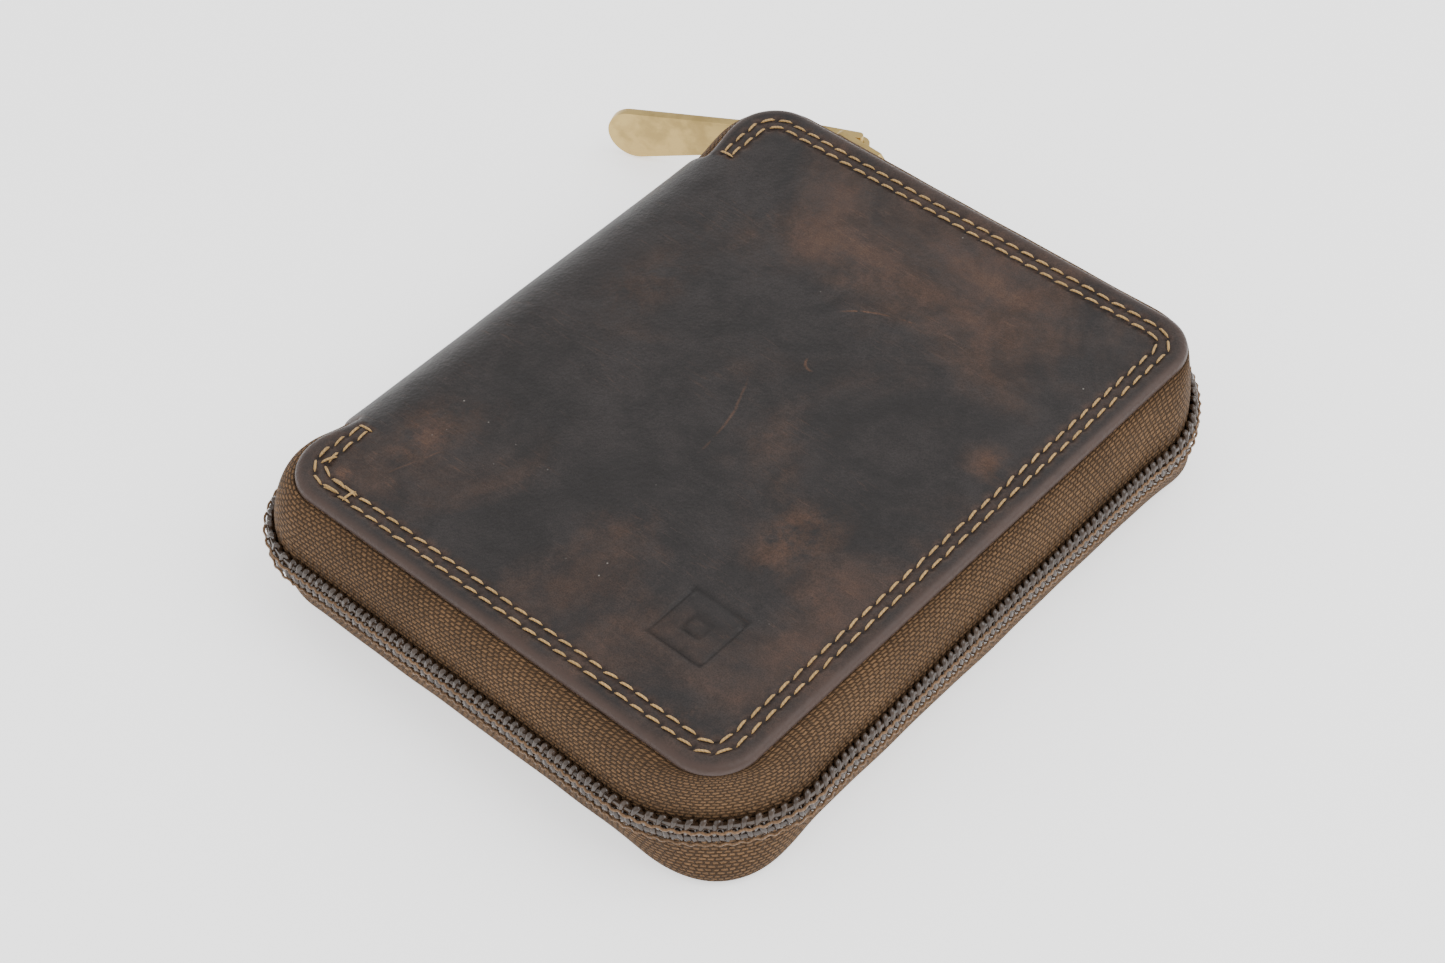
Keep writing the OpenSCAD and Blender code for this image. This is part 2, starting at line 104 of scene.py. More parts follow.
class WalletLeather(bpy.types.PropertyGroup):
    """Sizes and colours of the covers"""

    corner_r: length_mm("Corner radius", "Radius of the covers' corners, in mm", 8.0)
    edge_round: length_mm("Edge round", "Radius of the burnished edge, in mm", 1.1)
    cell: length_mm("Cell", "Size of the leather's mesh cells, in mm", 0.56, 0.3, 3.0)
    groove: length_mm("Groove", "Depth of the sewn grooves, in mm", 0.17)
    hole: length_mm("Needle hole", "Depth of a needle hole, in mm", 0.42)
    swell: length_mm("Swell", "Height of the slow swells in the leather, in mm", 0.22)
    stamp_x: length_mm("Stamp X", "Place of the blind stamp, in mm", 23.6, -50)
    stamp_y: length_mm("Stamp Y", "Place of the blind stamp, in mm", -36.8, -60)
    stamp_half: length_mm("Stamp size", "Half width of the blind stamp, in mm", 6.8)
    dark: tint("Dark leather", "Waxed grey-brown of the covers", (0.0155, 0.0125, 0.012))
    brown: tint("Brown leather", "Pulled-up red-brown of the covers", (0.07, 0.036, 0.022))
    edge: tint("Edge", "Brown of the burnished edge", (0.052, 0.031, 0.024))
    inner: tint("Inner leather", "Leather of the card and coin panels", (0.075, 0.042, 0.026))


class WalletStitching(bpy.types.PropertyGroup):
    """Sizes and colour of the sewing"""

    inset: length_mm("Inset", "Distance of the outer row from the edge, in mm", 3.1)
    row_gap: length_mm("Row gap", "Distance between the two rows, in mm", 1.85)
    pitch: length_mm("Pitch", "Length of one stitch with its gap, in mm", 2.97)
    thread_d: length_mm("Thread", "Thickness of the thread, in mm", 0.42)
    thread: tint("Thread", "Cream-gold waxed thread", (0.55, 0.34, 0.13))


class WalletZip(bpy.types.PropertyGroup):
    """Sizes and colours of the main zip"""

    coil_pitch: length_mm("Coil pitch", "Distance between two turns of a coil, in mm", 1.47)
    wire_d: length_mm("Coil wire", "Thickness of the coil's wire, in mm", 0.98)
    half_chain: length_mm("Upper coil", "Width of the upper coil, in mm", 2.95)
    half_lower: length_mm("Lower coil", "Width of the lower coil that shows, in mm", 2.45)
    coil_t: length_mm("Coil thickness", "Thickness of a coil, in mm", 1.6)
    corner_r: length_mm("Zip corner", "Radius of the corners at the opening side, in mm", 16.3)
    tape_t: length_mm("Tape thickness", "Thickness of the woven tape, in mm", 0.5)
    hem: length_mm("Hem", "Width of the tape sewn in under the cover, in mm", 4.2)
    weave: length_mm("Weave", "Size of one woven bump, in mm", 1.02)
    tape: tint("Tape", "Brown woven tape", (0.175, 0.098, 0.047))
    coil: tint("Coil", "Dark nylon coil", (0.03, 0.017, 0.0095))
    brass: tint("Brass", "Antique brass of the slider and pull", (0.5, 0.36, 0.14))


class WalletInside(bpy.types.PropertyGroup):
    """Sizes and colours of the inner panels"""

    cell: length_mm("Cell", "Size of the panels' mesh cells, in mm", 1.1, 0.5, 5.0)
    round: length_mm("Panel edge", "Radius of the panels' edges, in mm", 0.4)
    coil_pitch: length_mm("Coin coil pitch", "Distance between turns of the coin zip, in mm", 1.1)
    lining: tint("Lining", "Twill lining", (0.12, 0.075, 0.048))


class WalletStage(bpy.types.PropertyGroup):
    """Camera and studio light"""

    azimuth: FloatProperty(
        name="Azimuth", description="Direction of the camera", default=math.radians(44.72),
        subtype="ANGLE",
    )
    elevation: FloatProperty(
        name="Elevation", description="Height of the camera's view", default=math.radians(47.68),
        subtype="ANGLE",
    )
    roll: FloatProperty(
        name="Roll", description="Turn of the camera about its view", default=math.radians(-3.39),
        subtype="ANGLE",
    )
    distance: FloatProperty(
        name="Distance", description="Camera to the cover's middle", default=0.4215, unit="LENGTH"
    )
    aside: FloatProperty(
        name="Aside", description="Camera's shift to the right", default=-0.00366, unit="LENGTH"
    )
    lift: FloatProperty(
        name="Lift", description="Camera's shift upwards", default=-0.01187, unit="LENGTH"
    )
    lens: FloatProperty(
        name="Lens", description="Focal length", default=69.5, unit="CAMERA"
    )
    key: FloatProperty(name="Key light", description="Power of the softbox", default=6.0)
    sky: FloatProperty(name="Sky", description="Strength of the room's light", default=1.2)


# ---------- mesh helpers ----------


def deselect_all():
    if bpy.context.object and bpy.context.object.mode != "OBJECT":
        bpy.ops.object.mode_set(mode="OBJECT")
    bpy.ops.object.select_all(action="DESELECT")


def pick(obj):
    deselect_all()
    obj.select_set(True)
    bpy.context.view_layer.objects.active = obj


def smooth(obj, degrees=42):
    pick(obj)
    bpy.ops.object.shade_smooth_by_angle(angle=math.radians(degrees))


def make_mesh(name, points, faces, uv=None, marks=None):
    """Object with points in mm, a UV map in mm and named point attributes."""
    mesh = bpy.data.meshes.new(name)
    mesh.from_pydata((points * MM).tolist(), [], faces.tolist())
    obj = bpy.data.objects.new(name, mesh)
    bpy.context.scene.collection.objects.link(obj)
    if uv is not None:
        corner = np.zeros(len(mesh.loops), np.int32)
        mesh.loops.foreach_get("vertex_index", corner)
        layer = mesh.uv_layers.new(name="UVMap")
        layer.data.foreach_set("uv", uv[corner].astype(np.float32).ravel())
    for key, values in (marks or {}).items():
        mark = mesh.attributes.new(key, "FLOAT", "POINT")
        mark.data.foreach_set("value", values.astype(np.float32))
    return obj


def closed_sheet(name, top, bottom, keep, uv, marks=None, flip=False):
    """Closed shell between two grids of points. keep marks the cells that are there."""
    used = np.zeros(top.shape[:2], bool)
    for i in (0, 1):
        for j in (0, 1):
            used[i : i + keep.shape[0], j : j + keep.shape[1]] |= keep
    index = np.full(used.shape, -1)
    n = int(used.sum())
    index[used] = np.arange(n)
    corners = [index[:-1, :-1], index[1:, :-1], index[1:, 1:], index[:-1, 1:]]
    a, b, c, d = (g[keep] for g in corners)
    faces = [np.stack([a, b, c, d], 1), np.stack([d, c, b, a], 1) + n]
    padded = np.pad(keep, 1)
    beside = [padded[1:-1, :-2], padded[2:, 1:-1], padded[1:-1, 2:], padded[:-2, 1:-1]]
    for k in range(4):
        rim = keep & ~beside[k]
        p, q = corners[k][rim], corners[(k + 1) % 4][rim]
        faces.append(np.stack([q, p, p + n, q + n], 1))
    faces = np.concatenate(faces)
    if flip:
        faces = faces[:, ::-1]
    points = np.concatenate([top[used], bottom[used]])
    both = {key: np.concatenate([v[used], v[used]]) for key, v in (marks or {}).items()}
    return make_mesh(name, points, faces, np.concatenate([uv[used], uv[used]]), both)


EDGE_STEPS = (0.0, 0.13, 0.36, 0.7, 1.15)


def graded(low, high, fine_low, fine_high, step):
    """Grid lines from low to high, closer together at a fine end."""
    scale = min(1, (high - low) / (3 * EDGE_STEPS[-1]))
    start = [low + s * scale for s in EDGE_STEPS] if fine_low else [low]
    stop = [high - s * scale for s in EDGE_STEPS] if fine_high else [high]
    count = max(1, round((stop[-1] - start[-1]) / step))
    return np.concatenate([start, np.linspace(start[-1], stop[-1], count + 1), stop])


def lines(*runs):
    return np.unique(np.round(np.concatenate(runs), 4))


def rounded(x, y, low, high, radius):
    """Moves the corner squares of a rectangular grid on to round corners."""
    x, y = x.copy(), y.copy()
    middle = ((low[0] + high[0]) / 2, (low[1] + high[1]) / 2)
    for sx, sy in ((-1, -1), (-1, 1), (1, -1), (1, 1)):
        cx = high[0] - radius if sx > 0 else low[0] + radius
        cy = high[1] - radius if sy > 0 else low[1] + radius
        a, b = sx * (x - cx), sy * (y - cy)
        inside = (a > 0) & (b > 0) & (sx * (x - middle[0]) > 0) & (sy * (y - middle[1]) > 0)
        m = np.maximum(a, b)[inside]
        turn = np.arctan2(b[inside], a[inside])
        even = np.where(
            a[inside] >= b[inside],
            math.pi / 4 * np.tan(turn.clip(0, math.pi / 4)),
            math.pi / 2 - math.pi / 4 * np.tan((math.pi / 2 - turn).clip(0, math.pi / 4)),
        )
        x[inside] = cx + sx * m * np.cos(even)
        y[inside] = cy + sy * m * np.sin(even)
    return x, y


SWELL_WAVES = 7


def swells(x, y, size, seed):
    """Slow irregular waves between about -1 and 1."""
    draw = np.random.default_rng(seed)
    total = np.zeros(np.broadcast(x, y).shape)
    for _ in range(SWELL_WAVES):
        turn, phase = draw.uniform(0, 2 * math.pi, 2)
        k = 2 * math.pi / (size * draw.uniform(0.6, 1.7))
        total += np.sin(k * (x * math.cos(turn) + y * math.sin(turn)) + phase)
    return total / SWELL_WAVES * 1.6


def edge_drop(edge, radius):
    """How far a rounded edge falls below the face, at a distance from the edge."""
    t = np.clip(1 - edge / radius, 0, 1)
    return radius * (1 - np.sqrt(1 - t * t))


def ease(t):
    t = np.clip(t, 0, 1)
    return t * t * (3 - 2 * t)


# ---------- routes ----------


def arc(cx, cy, radius, start, stop, count=40):
    turn = np.radians(np.linspace(start, stop, count))
    return np.stack([cx + radius * np.cos(turn), cy + radius * np.sin(turn)], 1)


def round_route(inset, radius, start_y):
    """Route round three sides of the wallet, a distance inside the cover's outline, from
    the far end of the spine to the near one."""
    x0, x1, y1 = -HALF_W + inset, HALF_W - inset, HALF_L - inset
    far = np.concatenate([
        [[x0, start_y]],
        arc(x0 + radius, y1 - radius, radius, 180, 90),
        arc(x1 - radius, y1 - radius, radius, 90, 0),
    ])
    return np.concatenate([far, far[::-1] * (1, -1)])


def route_length(route):
    return float(np.linalg.norm(np.diff(route, axis=0), axis=1).sum())


def walk(route, s):
    """Points, directions and outward normals at distances along a route."""
    far = np.concatenate([[0], np.cumsum(np.linalg.norm(np.diff(route, axis=0), axis=1))])
    at = lambda d: np.stack([np.interp(d, far, route[:, k]) for k in (0, 1)], -1)
    step = 0.05
    ahead = at(np.clip(s + step, 0, far[-1])) - at(np.clip(s - step, 0, far[-1]))
    ahead /= np.linalg.norm(ahead, axis=-1, keepdims=True)
    return at(s), ahead, np.stack([-ahead[..., 1], ahead[..., 0]], -1)


def tube(name, runs, thickness, slim=None):
    """Round thread or wire along each run of points, as one mesh."""
    curve = bpy.data.curves.new(name, "CURVE")
    curve.dimensions = "3D"
    curve.bevel_depth = thickness / 2 * MM
    curve.bevel_resolution = 1
    curve.use_fill_caps = True
    for run in runs:
        spline = curve.splines.new("POLY")
        spline.points.add(len(run) - 1)
        four = np.concatenate([run * MM, np.ones((len(run), 1))], 1)
        spline.points.foreach_set("co", four.astype(np.float32).ravel())
        if slim is not None:
            spline.points.foreach_set("radius", slim[len(curve.splines) - 1].astype(np.float32))
    obj = bpy.data.objects.new(name, curve)
    bpy.context.scene.collection.objects.link(obj)
    pick(obj)
    bpy.ops.object.convert(target="MESH")
    obj = bpy.context.object
    obj.name = name
    smooth(obj, 60)
    return obj


# ---------- shader nodes ----------


def put(tree, kind, values=None, **settings):
    """New node with its settings, and with numbers or links in its inputs."""
    made = tree.nodes.new(kind)
    for key, value in settings.items():
        setattr(made, key, value)
    for key, value in (values or {}).items():
        if isinstance(value, bpy.types.NodeSocket):
            tree.links.new(value, made.inputs[key])
        else:
            made.inputs[key].default_value = value
    return made


def calc(tree, operation, a, b=0.0, c=0.0, clamp=False):
    return put(
        tree, "ShaderNodeMath", {0: a, 1: b, 2: c}, operation=operation, use_clamp=clamp
    ).outputs[0]


def times(tree, a, b):
    return calc(tree, "MULTIPLY", a, b)


def band(tree, value, low, high, to_low=0.0, to_high=1.0):
    """Smooth step of a value between two limits."""
    return put(
        tree, "ShaderNodeMapRange",
        {"Value": value, "From Min": low, "From Max": high, "To Min": to_low, "To Max": to_high},
        interpolation_type="SMOOTHSTEP",
    ).outputs[0]


def blend_colour(tree, share, a, b, way="MIX"):
    made = put(tree, "ShaderNodeMix", {0: share, 6: a, 7: b}, data_type="RGBA", blend_type=way)
    return made.outputs[2]


def tinted(tree, colour, by):
    """A colour multiplied by another, or by a grey."""
    return blend_colour(tree, 1.0, colour, by, "MULTIPLY")


def noise(tree, vector, scale, detail=3.0, rough=0.55, twist=0.0):
    return put(
        tree, "ShaderNodeTexNoise",
        {"Vector": vector, "Scale": scale, "Detail": detail, "Roughness": rough,
         "Distortion": twist},
    ).outputs[0]


def rgba(colour):
    return (*colour, 1.0)


def group(name, inputs, outputs, fill):
    """Shader node group, made once. fill gets its tree and input sockets and returns the sockets
    for the output node.
    """
    found = bpy.data.node_groups.get(name)
    if found:
        return found
    tree = bpy.data.node_groups.new(name, "ShaderNodeTree")
    for key, kind, default in inputs:
        socket = tree.interface.new_socket(key, in_out="INPUT", socket_type=kind)
        if default is not None:
            socket.default_value = default
    for key, kind in outputs:
        tree.interface.new_socket(key, in_out="OUTPUT", socket_type=kind)
    start = tree.nodes.new("NodeGroupInput")
    results = fill(tree, start.outputs)
    end = tree.nodes.new("NodeGroupOutput")
    for key, socket in results.items():
        tree.links.new(socket, end.inputs[key])
    return tree


def use(tree, made, values):
    return put(tree, "ShaderNodeGroup", values, node_tree=made).outputs


FLOAT, VECTOR = "NodeSocketFloat", "NodeSocketVector"


def hide_grain():
    """Fine pores and fibres of a full-grain hide."""

    def fill(tree, given):
        cells = put(
            tree, "ShaderNodeTexVoronoi",
            {"Vector": given["Vector"], "Scale": given["Scale"], "Smoothness": 0.6},
            feature="SMOOTH_F1",
        ).outputs[0]
        fine = noise(tree, given["Vector"], times(tree, given["Scale"], 3.1), 4, 0.7)
        slow = noise(tree, given["Vector"], times(tree, given["Scale"], 0.22), 3, 0.6)
        height = calc(tree, "ADD", times(tree, cells, 0.55),
                      calc(tree, "ADD", times(tree, fine, 0.35),
                           times(tree, slow, 0.9)))
        return {"Height": height, "Pores": band(tree, fine, 0.36, 0.62)}

    return group("Hide grain", [("Vector", VECTOR, None), ("Scale", FLOAT, 1500.0)],
                 [("Height", FLOAT), ("Pores", FLOAT)], fill)


def hide_scuffs():
    """Thin light fibres rubbed into a waxed hide, in two directions."""

    def fill(tree, given):
        total = None
        for turn, stretch in ((0.5, 9.0), (2.2, 11.0)):
            laid = put(
                tree, "ShaderNodeMapping",
                {"Vector": given["Vector"], "Rotation": (0, 0, turn), "Scale": (1, stretch, 1)},
            ).outputs[0]
            thin = band(tree, noise(tree, laid, 160.0, 6, 0.68, 0.6), 0.56, 0.72)
            total = thin if total is None else calc(tree, "MAXIMUM", total, thin)
        worn = band(tree, noise(tree, given["Vector"], 42.0, 3), 0.42, 0.7)
        return {"Mask": times(tree, total, worn)}

    return group("Hide scuffs", [("Vector", VECTOR, None)], [("Mask", FLOAT)], fill)


def soft_patch():
    """Cloudy patch about a place in the plan."""

    def fill(tree, given):
        apart = put(tree, "ShaderNodeVectorMath", {0: given["Vector"], 1: given["Centre"]},
                    operation="SUBTRACT").outputs[0]
        flat = put(tree, "ShaderNodeVectorMath", {0: apart, 1: given["Stretch"]},
                   operation="MULTIPLY").outputs[0]
        gone = put(tree, "ShaderNodeVectorMath", {0: flat}, operation="LENGTH").outputs["Value"]
        torn = times(tree, noise(tree, given["Vector"], 95.0, 5, 0.62), given["Radius"])
        reach = calc(tree, "ADD", gone, times(tree, torn, 1.1))
        inner = times(tree, given["Radius"], 0.55)
        outer = times(tree, given["Radius"], 1.5)
        return {"Mask": band(tree, reach, inner, outer, 1.0, 0.0)}

    return group("Soft patch",
                 [("Vector", VECTOR, None), ("Centre", VECTOR, None),
                  ("Stretch", VECTOR, (1, 1, 0)), ("Radius", FLOAT, 0.01)],
                 [("Mask", FLOAT)], fill)


def score_mark():
    """Thin mark along an arc in the plan, cut off at a distance from its middle."""

    def fill(tree, given):
        def gone(from_socket):
            apart = put(tree, "ShaderNodeVectorMath", {0: given["Vector"], 1: from_socket},
                        operation="SUBTRACT").outputs[0]
            flat = put(tree, "ShaderNodeVectorMath", {0: apart, 1: (1, 1, 0)},
                       operation="MULTIPLY").outputs[0]
            return put(tree, "ShaderNodeVectorMath", {0: flat}, operation="LENGTH").outputs["Value"]

        wobble = calc(tree, "MULTIPLY_ADD", noise(tree, given["Vector"], 300.0, 2), 0.0006, -0.0003)
        off = calc(tree, "ABSOLUTE", calc(tree, "ADD", wobble, calc(
            tree, "SUBTRACT", gone(given["Centre"]), given["Radius"])))
        line = band(tree, off, 0.0, given["Width"], 1.0, 0.0)
        ends = band(tree, gone(given["Middle"]), times(tree, given["Reach"], 0.55),
                    given["Reach"], 1.0, 0.0)
        grit = band(tree, noise(tree, given["Vector"], 700.0, 2), 0.3, 0.55)
        return {"Mask": times(tree, times(tree, line, ends), grit)}

    return group("Score mark",
                 [("Vector", VECTOR, None), ("Centre", VECTOR, None), ("Middle", VECTOR, None),
                  ("Radius", FLOAT, 0.01), ("Reach", FLOAT, 0.01), ("Width", FLOAT, 0.0003)],
                 [("Mask", FLOAT)], fill)


def woven_bumps():
    """Coarse weave of offset rows of bumps, on coordinates in mm."""

    def fill(tree, given):
        bent = put(tree, "ShaderNodeVectorMath",
                   {0: put(tree, "ShaderNodeTexNoise", {"Vector": given["Vector"], "Scale": 0.9,
                                                        "Detail": 2.0}).outputs[1],
                    1: (0.75, 0.5, 0.0)}, operation="MULTIPLY").outputs[0]
        laid = put(tree, "ShaderNodeVectorMath", {0: given["Vector"], 1: bent},
                   operation="ADD").outputs[0]
        bricks = put(
            tree, "ShaderNodeTexBrick",
            {"Vector": laid, "Scale": 1.0, "Mortar Size": 0.2, "Mortar Smooth": 0.85,
             "Brick Width": given["Size"], "Row Height": times(tree, given["Size"], 0.66),
             "Color1": (0, 0, 0, 1), "Color2": (1, 1, 1, 1), "Mortar": (0, 0, 0, 1)},
            offset=0.5,
        ).outputs
        fibre = noise(tree, given["Vector"], 5.5, 3, 0.7)
        gap = bricks["Fac"]
        height = calc(tree, "ADD", calc(tree, "SUBTRACT", 1.0, gap),
                      times(tree, fibre, 0.5))
        shade = calc(tree, "ADD", times(tree, bricks["Color"], 0.5),
                     times(tree, fibre, 0.5))
        return {"Height": height, "Gap": gap, "Shade": shade}

    return group("Woven bumps", [("Vector", VECTOR, None), ("Size", FLOAT, 0.76)],
                 [("Height", FLOAT), ("Gap", FLOAT), ("Shade", FLOAT)], fill)


def diagonal_twill():
    """Fine diagonal ribs with a little slub."""

    def fill(tree, given):
        ribs = put(tree, "ShaderNodeTexWave",
                   {"Vector": given["Vector"], "Scale": given["Scale"], "Distortion": 0.7,
                    "Detail": 2.0, "Detail Scale": 2.0},
                   wave_type="BANDS", bands_direction="DIAGONAL").outputs[1]
        cross = put(tree, "ShaderNodeTexWave",
                    {"Vector": given["Vector"], "Scale": times(tree, given["Scale"], 0.8)},
                    wave_type="BANDS", bands_direction="X").outputs[1]
        height = calc(tree, "ADD", ribs, times(tree, cross, 0.35))
        return {"Height": height, "Shade": noise(tree, given["Vector"], 260.0, 4, 0.7)}

    return group("Diagonal twill", [("Vector", VECTOR, None), ("Scale", FLOAT, 700.0)],
                 [("Height", FLOAT), ("Shade", FLOAT)], fill)


def worn_metal():
    """Brushed and slightly blotched plating."""

    def fill(tree, given):
        laid = put(tree, "ShaderNodeMapping",
                   {"Vector": given["Vector"], "Scale": (1.0, 14.0, 14.0)}).outputs[0]
        brush = noise(tree, laid, 260.0, 4, 0.65)
        blotch = band(tree, noise(tree, given["Vector"], 190.0, 4, 0.6), 0.42, 0.66)
        return {"Brush": brush, "Blotch": blotch}

    return group("Worn metal", [("Vector", VECTOR, None)], [("Brush", FLOAT), ("Blotch", FLOAT)],
                 fill)


def new_material(name, **constants):
    """Material with its tree, its Principled shader and Object coordinates."""
    made = bpy.data.materials.new(name)
    made.use_nodes = True
    tree = made.node_tree
    shader = tree.nodes["Principled BSDF"]
    for key, value in constants.items():
        shader.inputs[key.replace("_", " ")].default_value = value
    where = put(tree, "ShaderNodeTexCoord")
    return made, tree, shader, where


def finish(tree, shader, colour, rough, height, strength, distance_mm):
    """Links a colour, a roughness and a bump to a material's shader."""
    if colour:
        tree.links.new(colour, shader.inputs["Base Color"])
    tree.links.new(rough, shader.inputs["Roughness"])
    raised = put(tree, "ShaderNodeBump",
                 {"Height": height, "Strength": strength, "Distance": distance_mm * MM})
    tree.links.new(raised.outputs[0], shader.inputs["Normal"])


def cover_leather_material(sizes):
    made, tree, shader, where = new_material(
        "Waxed hide", **{"Specular_IOR_Level": 0.3, "Sheen_Weight": 0.03, "Sheen_Roughness": 0.45}
    )
    place = where.outputs["Object"]
    mark = lambda key: put(tree, "ShaderNodeAttribute", attribute_name=key).outputs["Fac"]
    slow = noise(tree, place, 24.0, 5, 0.62, 0.5)
    cloud = band(tree, slow, 0.47, 0.74)
    fine = noise(tree, place, 170.0, 6, 0.7)
    brown = times(tree, cloud, band(tree, fine, 0.3, 0.62, 0.35, 0.75))
    patches = [  # middle, radius, strength and flattening of the pulled-up patches
        ((23.5, -16.0), 9.0, 0.85, (1.0, 0.8)), ((35.6, 14.0), 6.0, 0.8, (1.0, 1.0)),
        ((5.0, -33.0), 8.0, 0.55, (0.7, 1.2)), ((-32.0, -37.0), 10.0, 0.6, (1.1, 0.7)),
        ((-36.5, -50.0), 5.5, 1.0, (1.0, 1.3)), ((33.0, -50.0), 6.0, 0.6, (1.0, 1.0)),
        ((-6.0, 33.0), 12.0, 0.4, (1.0, 1.3)), ((-30.0, 10.0), 13.0, 0.3, (1.4, 0.7)),
    ]
    for (x, y), radius, strength, (fx, fy) in patches:
        patch = use(tree, soft_patch(), {
            "Vector": place, "Centre": (x * MM, y * MM, 0), "Stretch": (fx, fy, 0),
            "Radius": radius * MM})["Mask"]
        ragged = times(tree, patch, band(tree, fine, 0.36, 0.62, 0.05, 1.0))
        brown = calc(tree, "MAXIMUM", brown, times(tree, ragged, strength))
    marks = [  # centre of the arc, middle of the mark, radius, reach and strength
        ((11.5, 10.0), (3.4, 28.0), 19.7, 7.5, 1.0),
        ((-30.0, -12.5), (-0.2, -3.5), 31.2, 9.5, 0.55),
        ((2.6, 13.2), (1.6, 11.8), 1.8, 1.8, 1.0),
        ((20.0, -60.0), (-30.0, -41.0), 53.6, 6.0, 0.5),
    ]
    for (x, y), (mx, my), radius, reach, strength in marks:
        line = use(tree, score_mark(), {
            "Vector": place, "Centre": (x * MM, y * MM, 0), "Middle": (mx * MM, my * MM, 0),
            "Radius": radius * MM, "Reach": reach * MM, "Width": 0.34 * MM})["Mask"]
        brown = calc(tree, "MAXIMUM", brown, times(tree, line, strength * 1.1))
    scuffs = use(tree, hide_scuffs(), {"Vector": place})["Mask"]
    brown = calc(tree, "ADD", brown, times(tree, scuffs, 0.5), clamp=True)
    brown = calc(tree, "MAXIMUM", brown, times(tree, mark("fuzz"), 0.9))
    colour = blend_colour(tree, brown, rgba(sizes.dark), rgba(sizes.brown))
    grain = use(tree, hide_grain(), {"Vector": place, "Scale": 1500.0})
    deep = calc(tree, "MULTIPLY_ADD", grain["Pores"], 0.55, 0.68)
    colour = tinted(tree, colour, deep)
    mottle = noise(tree, place, 95.0, 8, 0.78, 0.4)
    colour = tinted(tree, colour, band(tree, mottle, 0.34, 0.66, 0.72, 1.45))
    rim = times(tree, mark("rim"), band(tree, fine, 0.25, 0.6, 0.6, 1.0))
    colour = blend_colour(tree, rim, colour, rgba(sizes.edge))
    # Painted shade in the needle holes and in the blind stamp's hollows.
    dark = calc(tree, "SUBTRACT", 1.0, times(tree, mark("hollow_shade"), 0.93))
    colour = tinted(tree, colour, dark)
    dust = put(tree, "ShaderNodeTexVoronoi", {"Vector": place, "Scale": 330.0}).outputs[0]
    specks = times(tree, band(tree, dust, 0.03, 0.06, 1.0, 0.0),
                  band(tree, noise(tree, place, 60.0, 2), 0.55, 0.6))
    colour = blend_colour(tree, times(tree, specks, 0.5), colour, (0.3, 0.28, 0.25, 1))
    rough = calc(tree, "ADD", times(tree, fine, 0.26), 0.4)
    rough = calc(tree, "ADD", rough, times(tree, brown, 0.1))
    rough = calc(tree, "SUBTRACT", rough, times(tree, rim, 0.1))
    folds = put(tree, "ShaderNodeTexWave",
                {"Vector": place, "Scale": 95.0, "Distortion": 7.0, "Detail": 3.0,
                 "Detail Scale": 0.6}, wave_type="BANDS", bands_direction="DIAGONAL").outputs[1]
    creased = use(tree, soft_patch(), {
        "Vector": place, "Centre": (-31 * MM, -38 * MM, 0), "Stretch": (1, 0.8, 0),
        "Radius": 13 * MM})["Mask"]
    height = calc(tree, "ADD", grain["Height"],
                  times(tree, times(tree, folds, creased), 1.3))
    height = calc(tree, "SUBTRACT", height, times(tree, scuffs, 0.35))
    finish(tree, shader, colour, rough, height, 0.8, 0.13)
    return made


def inner_leather_material(sizes):
    made, tree, shader, where = new_material("Inner hide", **{"Specular_IOR_Level": 0.4})
    place = where.outputs["Object"]
    grain = use(tree, hide_grain(), {"Vector": place, "Scale": 1900.0})
    cloud = band(tree, noise(tree, place, 45.0, 5, 0.6), 0.35, 0.7)
    colour = blend_colour(tree, times(tree, cloud, 0.6), rgba(sizes.inner),
                          rgba(sizes.brown))
    colour = tinted(tree, colour, calc(tree, "MULTIPLY_ADD", grain["Pores"], 0.3, 0.8))
    finish(tree, shader, colour, calc(tree, "MULTIPLY_ADD", cloud, 0.14, 0.44),
           grain["Height"], 0.45, 0.09)
    return made


def tape_material(zip_sizes):
    made, tree, shader, where = new_material(
        "Woven tape", **{"Specular_IOR_Level": 0.18}
    )
    weave = use(tree, woven_bumps(), {"Vector": where.outputs["UV"], "Size": zip_sizes.weave})
    low = rgba(tuple(0.62 * c for c in zip_sizes.tape))
    high = rgba(tuple(min(1, 1.3 * c) for c in zip_sizes.tape))
    colour = blend_colour(tree, weave["Shade"], low, high)
    shade = calc(tree, "MULTIPLY_ADD", weave["Gap"], -0.62, 1.06)
    colour = tinted(tree, colour, shade)
    worn = band(tree, noise(tree, where.outputs["Object"], 60.0, 3), 0.3, 0.7, 0.85, 1.1)
    colour = tinted(tree, colour, worn)
    along = put(tree, "ShaderNodeSeparateXYZ", {0: where.outputs["UV"]}).outputs[0]
    wave = calc(tree, "SINE", times(tree, along, 2 * math.pi / zip_sizes.coil_pitch))
    pucker = put(tree, "ShaderNodeAttribute", attribute_name="pucker").outputs["Fac"]
    height = calc(tree, "ADD", weave["Height"], calc(
        tree, "MULTIPLY", times(tree, wave, pucker), 1.6))
    finish(tree, shader, colour, calc(tree, "MULTIPLY_ADD", weave["Shade"], 0.15, 0.7),
           height, 1.0, 0.5)
    return made


def lining_material(sizes):
    made, tree, shader, where = new_material("Twill lining", **{"Specular_IOR_Level": 0.3})
    twill = use(tree, diagonal_twill(), {"Vector": where.outputs["Object"], "Scale": 420.0})
    dark = rgba(tuple(0.6 * c for c in sizes.lining))
    colour = blend_colour(tree, twill["Height"], dark, rgba(sizes.lining))
    colour = tinted(tree, colour, band(tree, twill["Shade"], 0.3, 0.7, 0.8, 1.15))
    finish(tree, shader, colour, calc(tree, "MULTIPLY_ADD", twill["Shade"], 0.2, 0.62),
           twill["Height"], 0.6, 0.08)
    return made


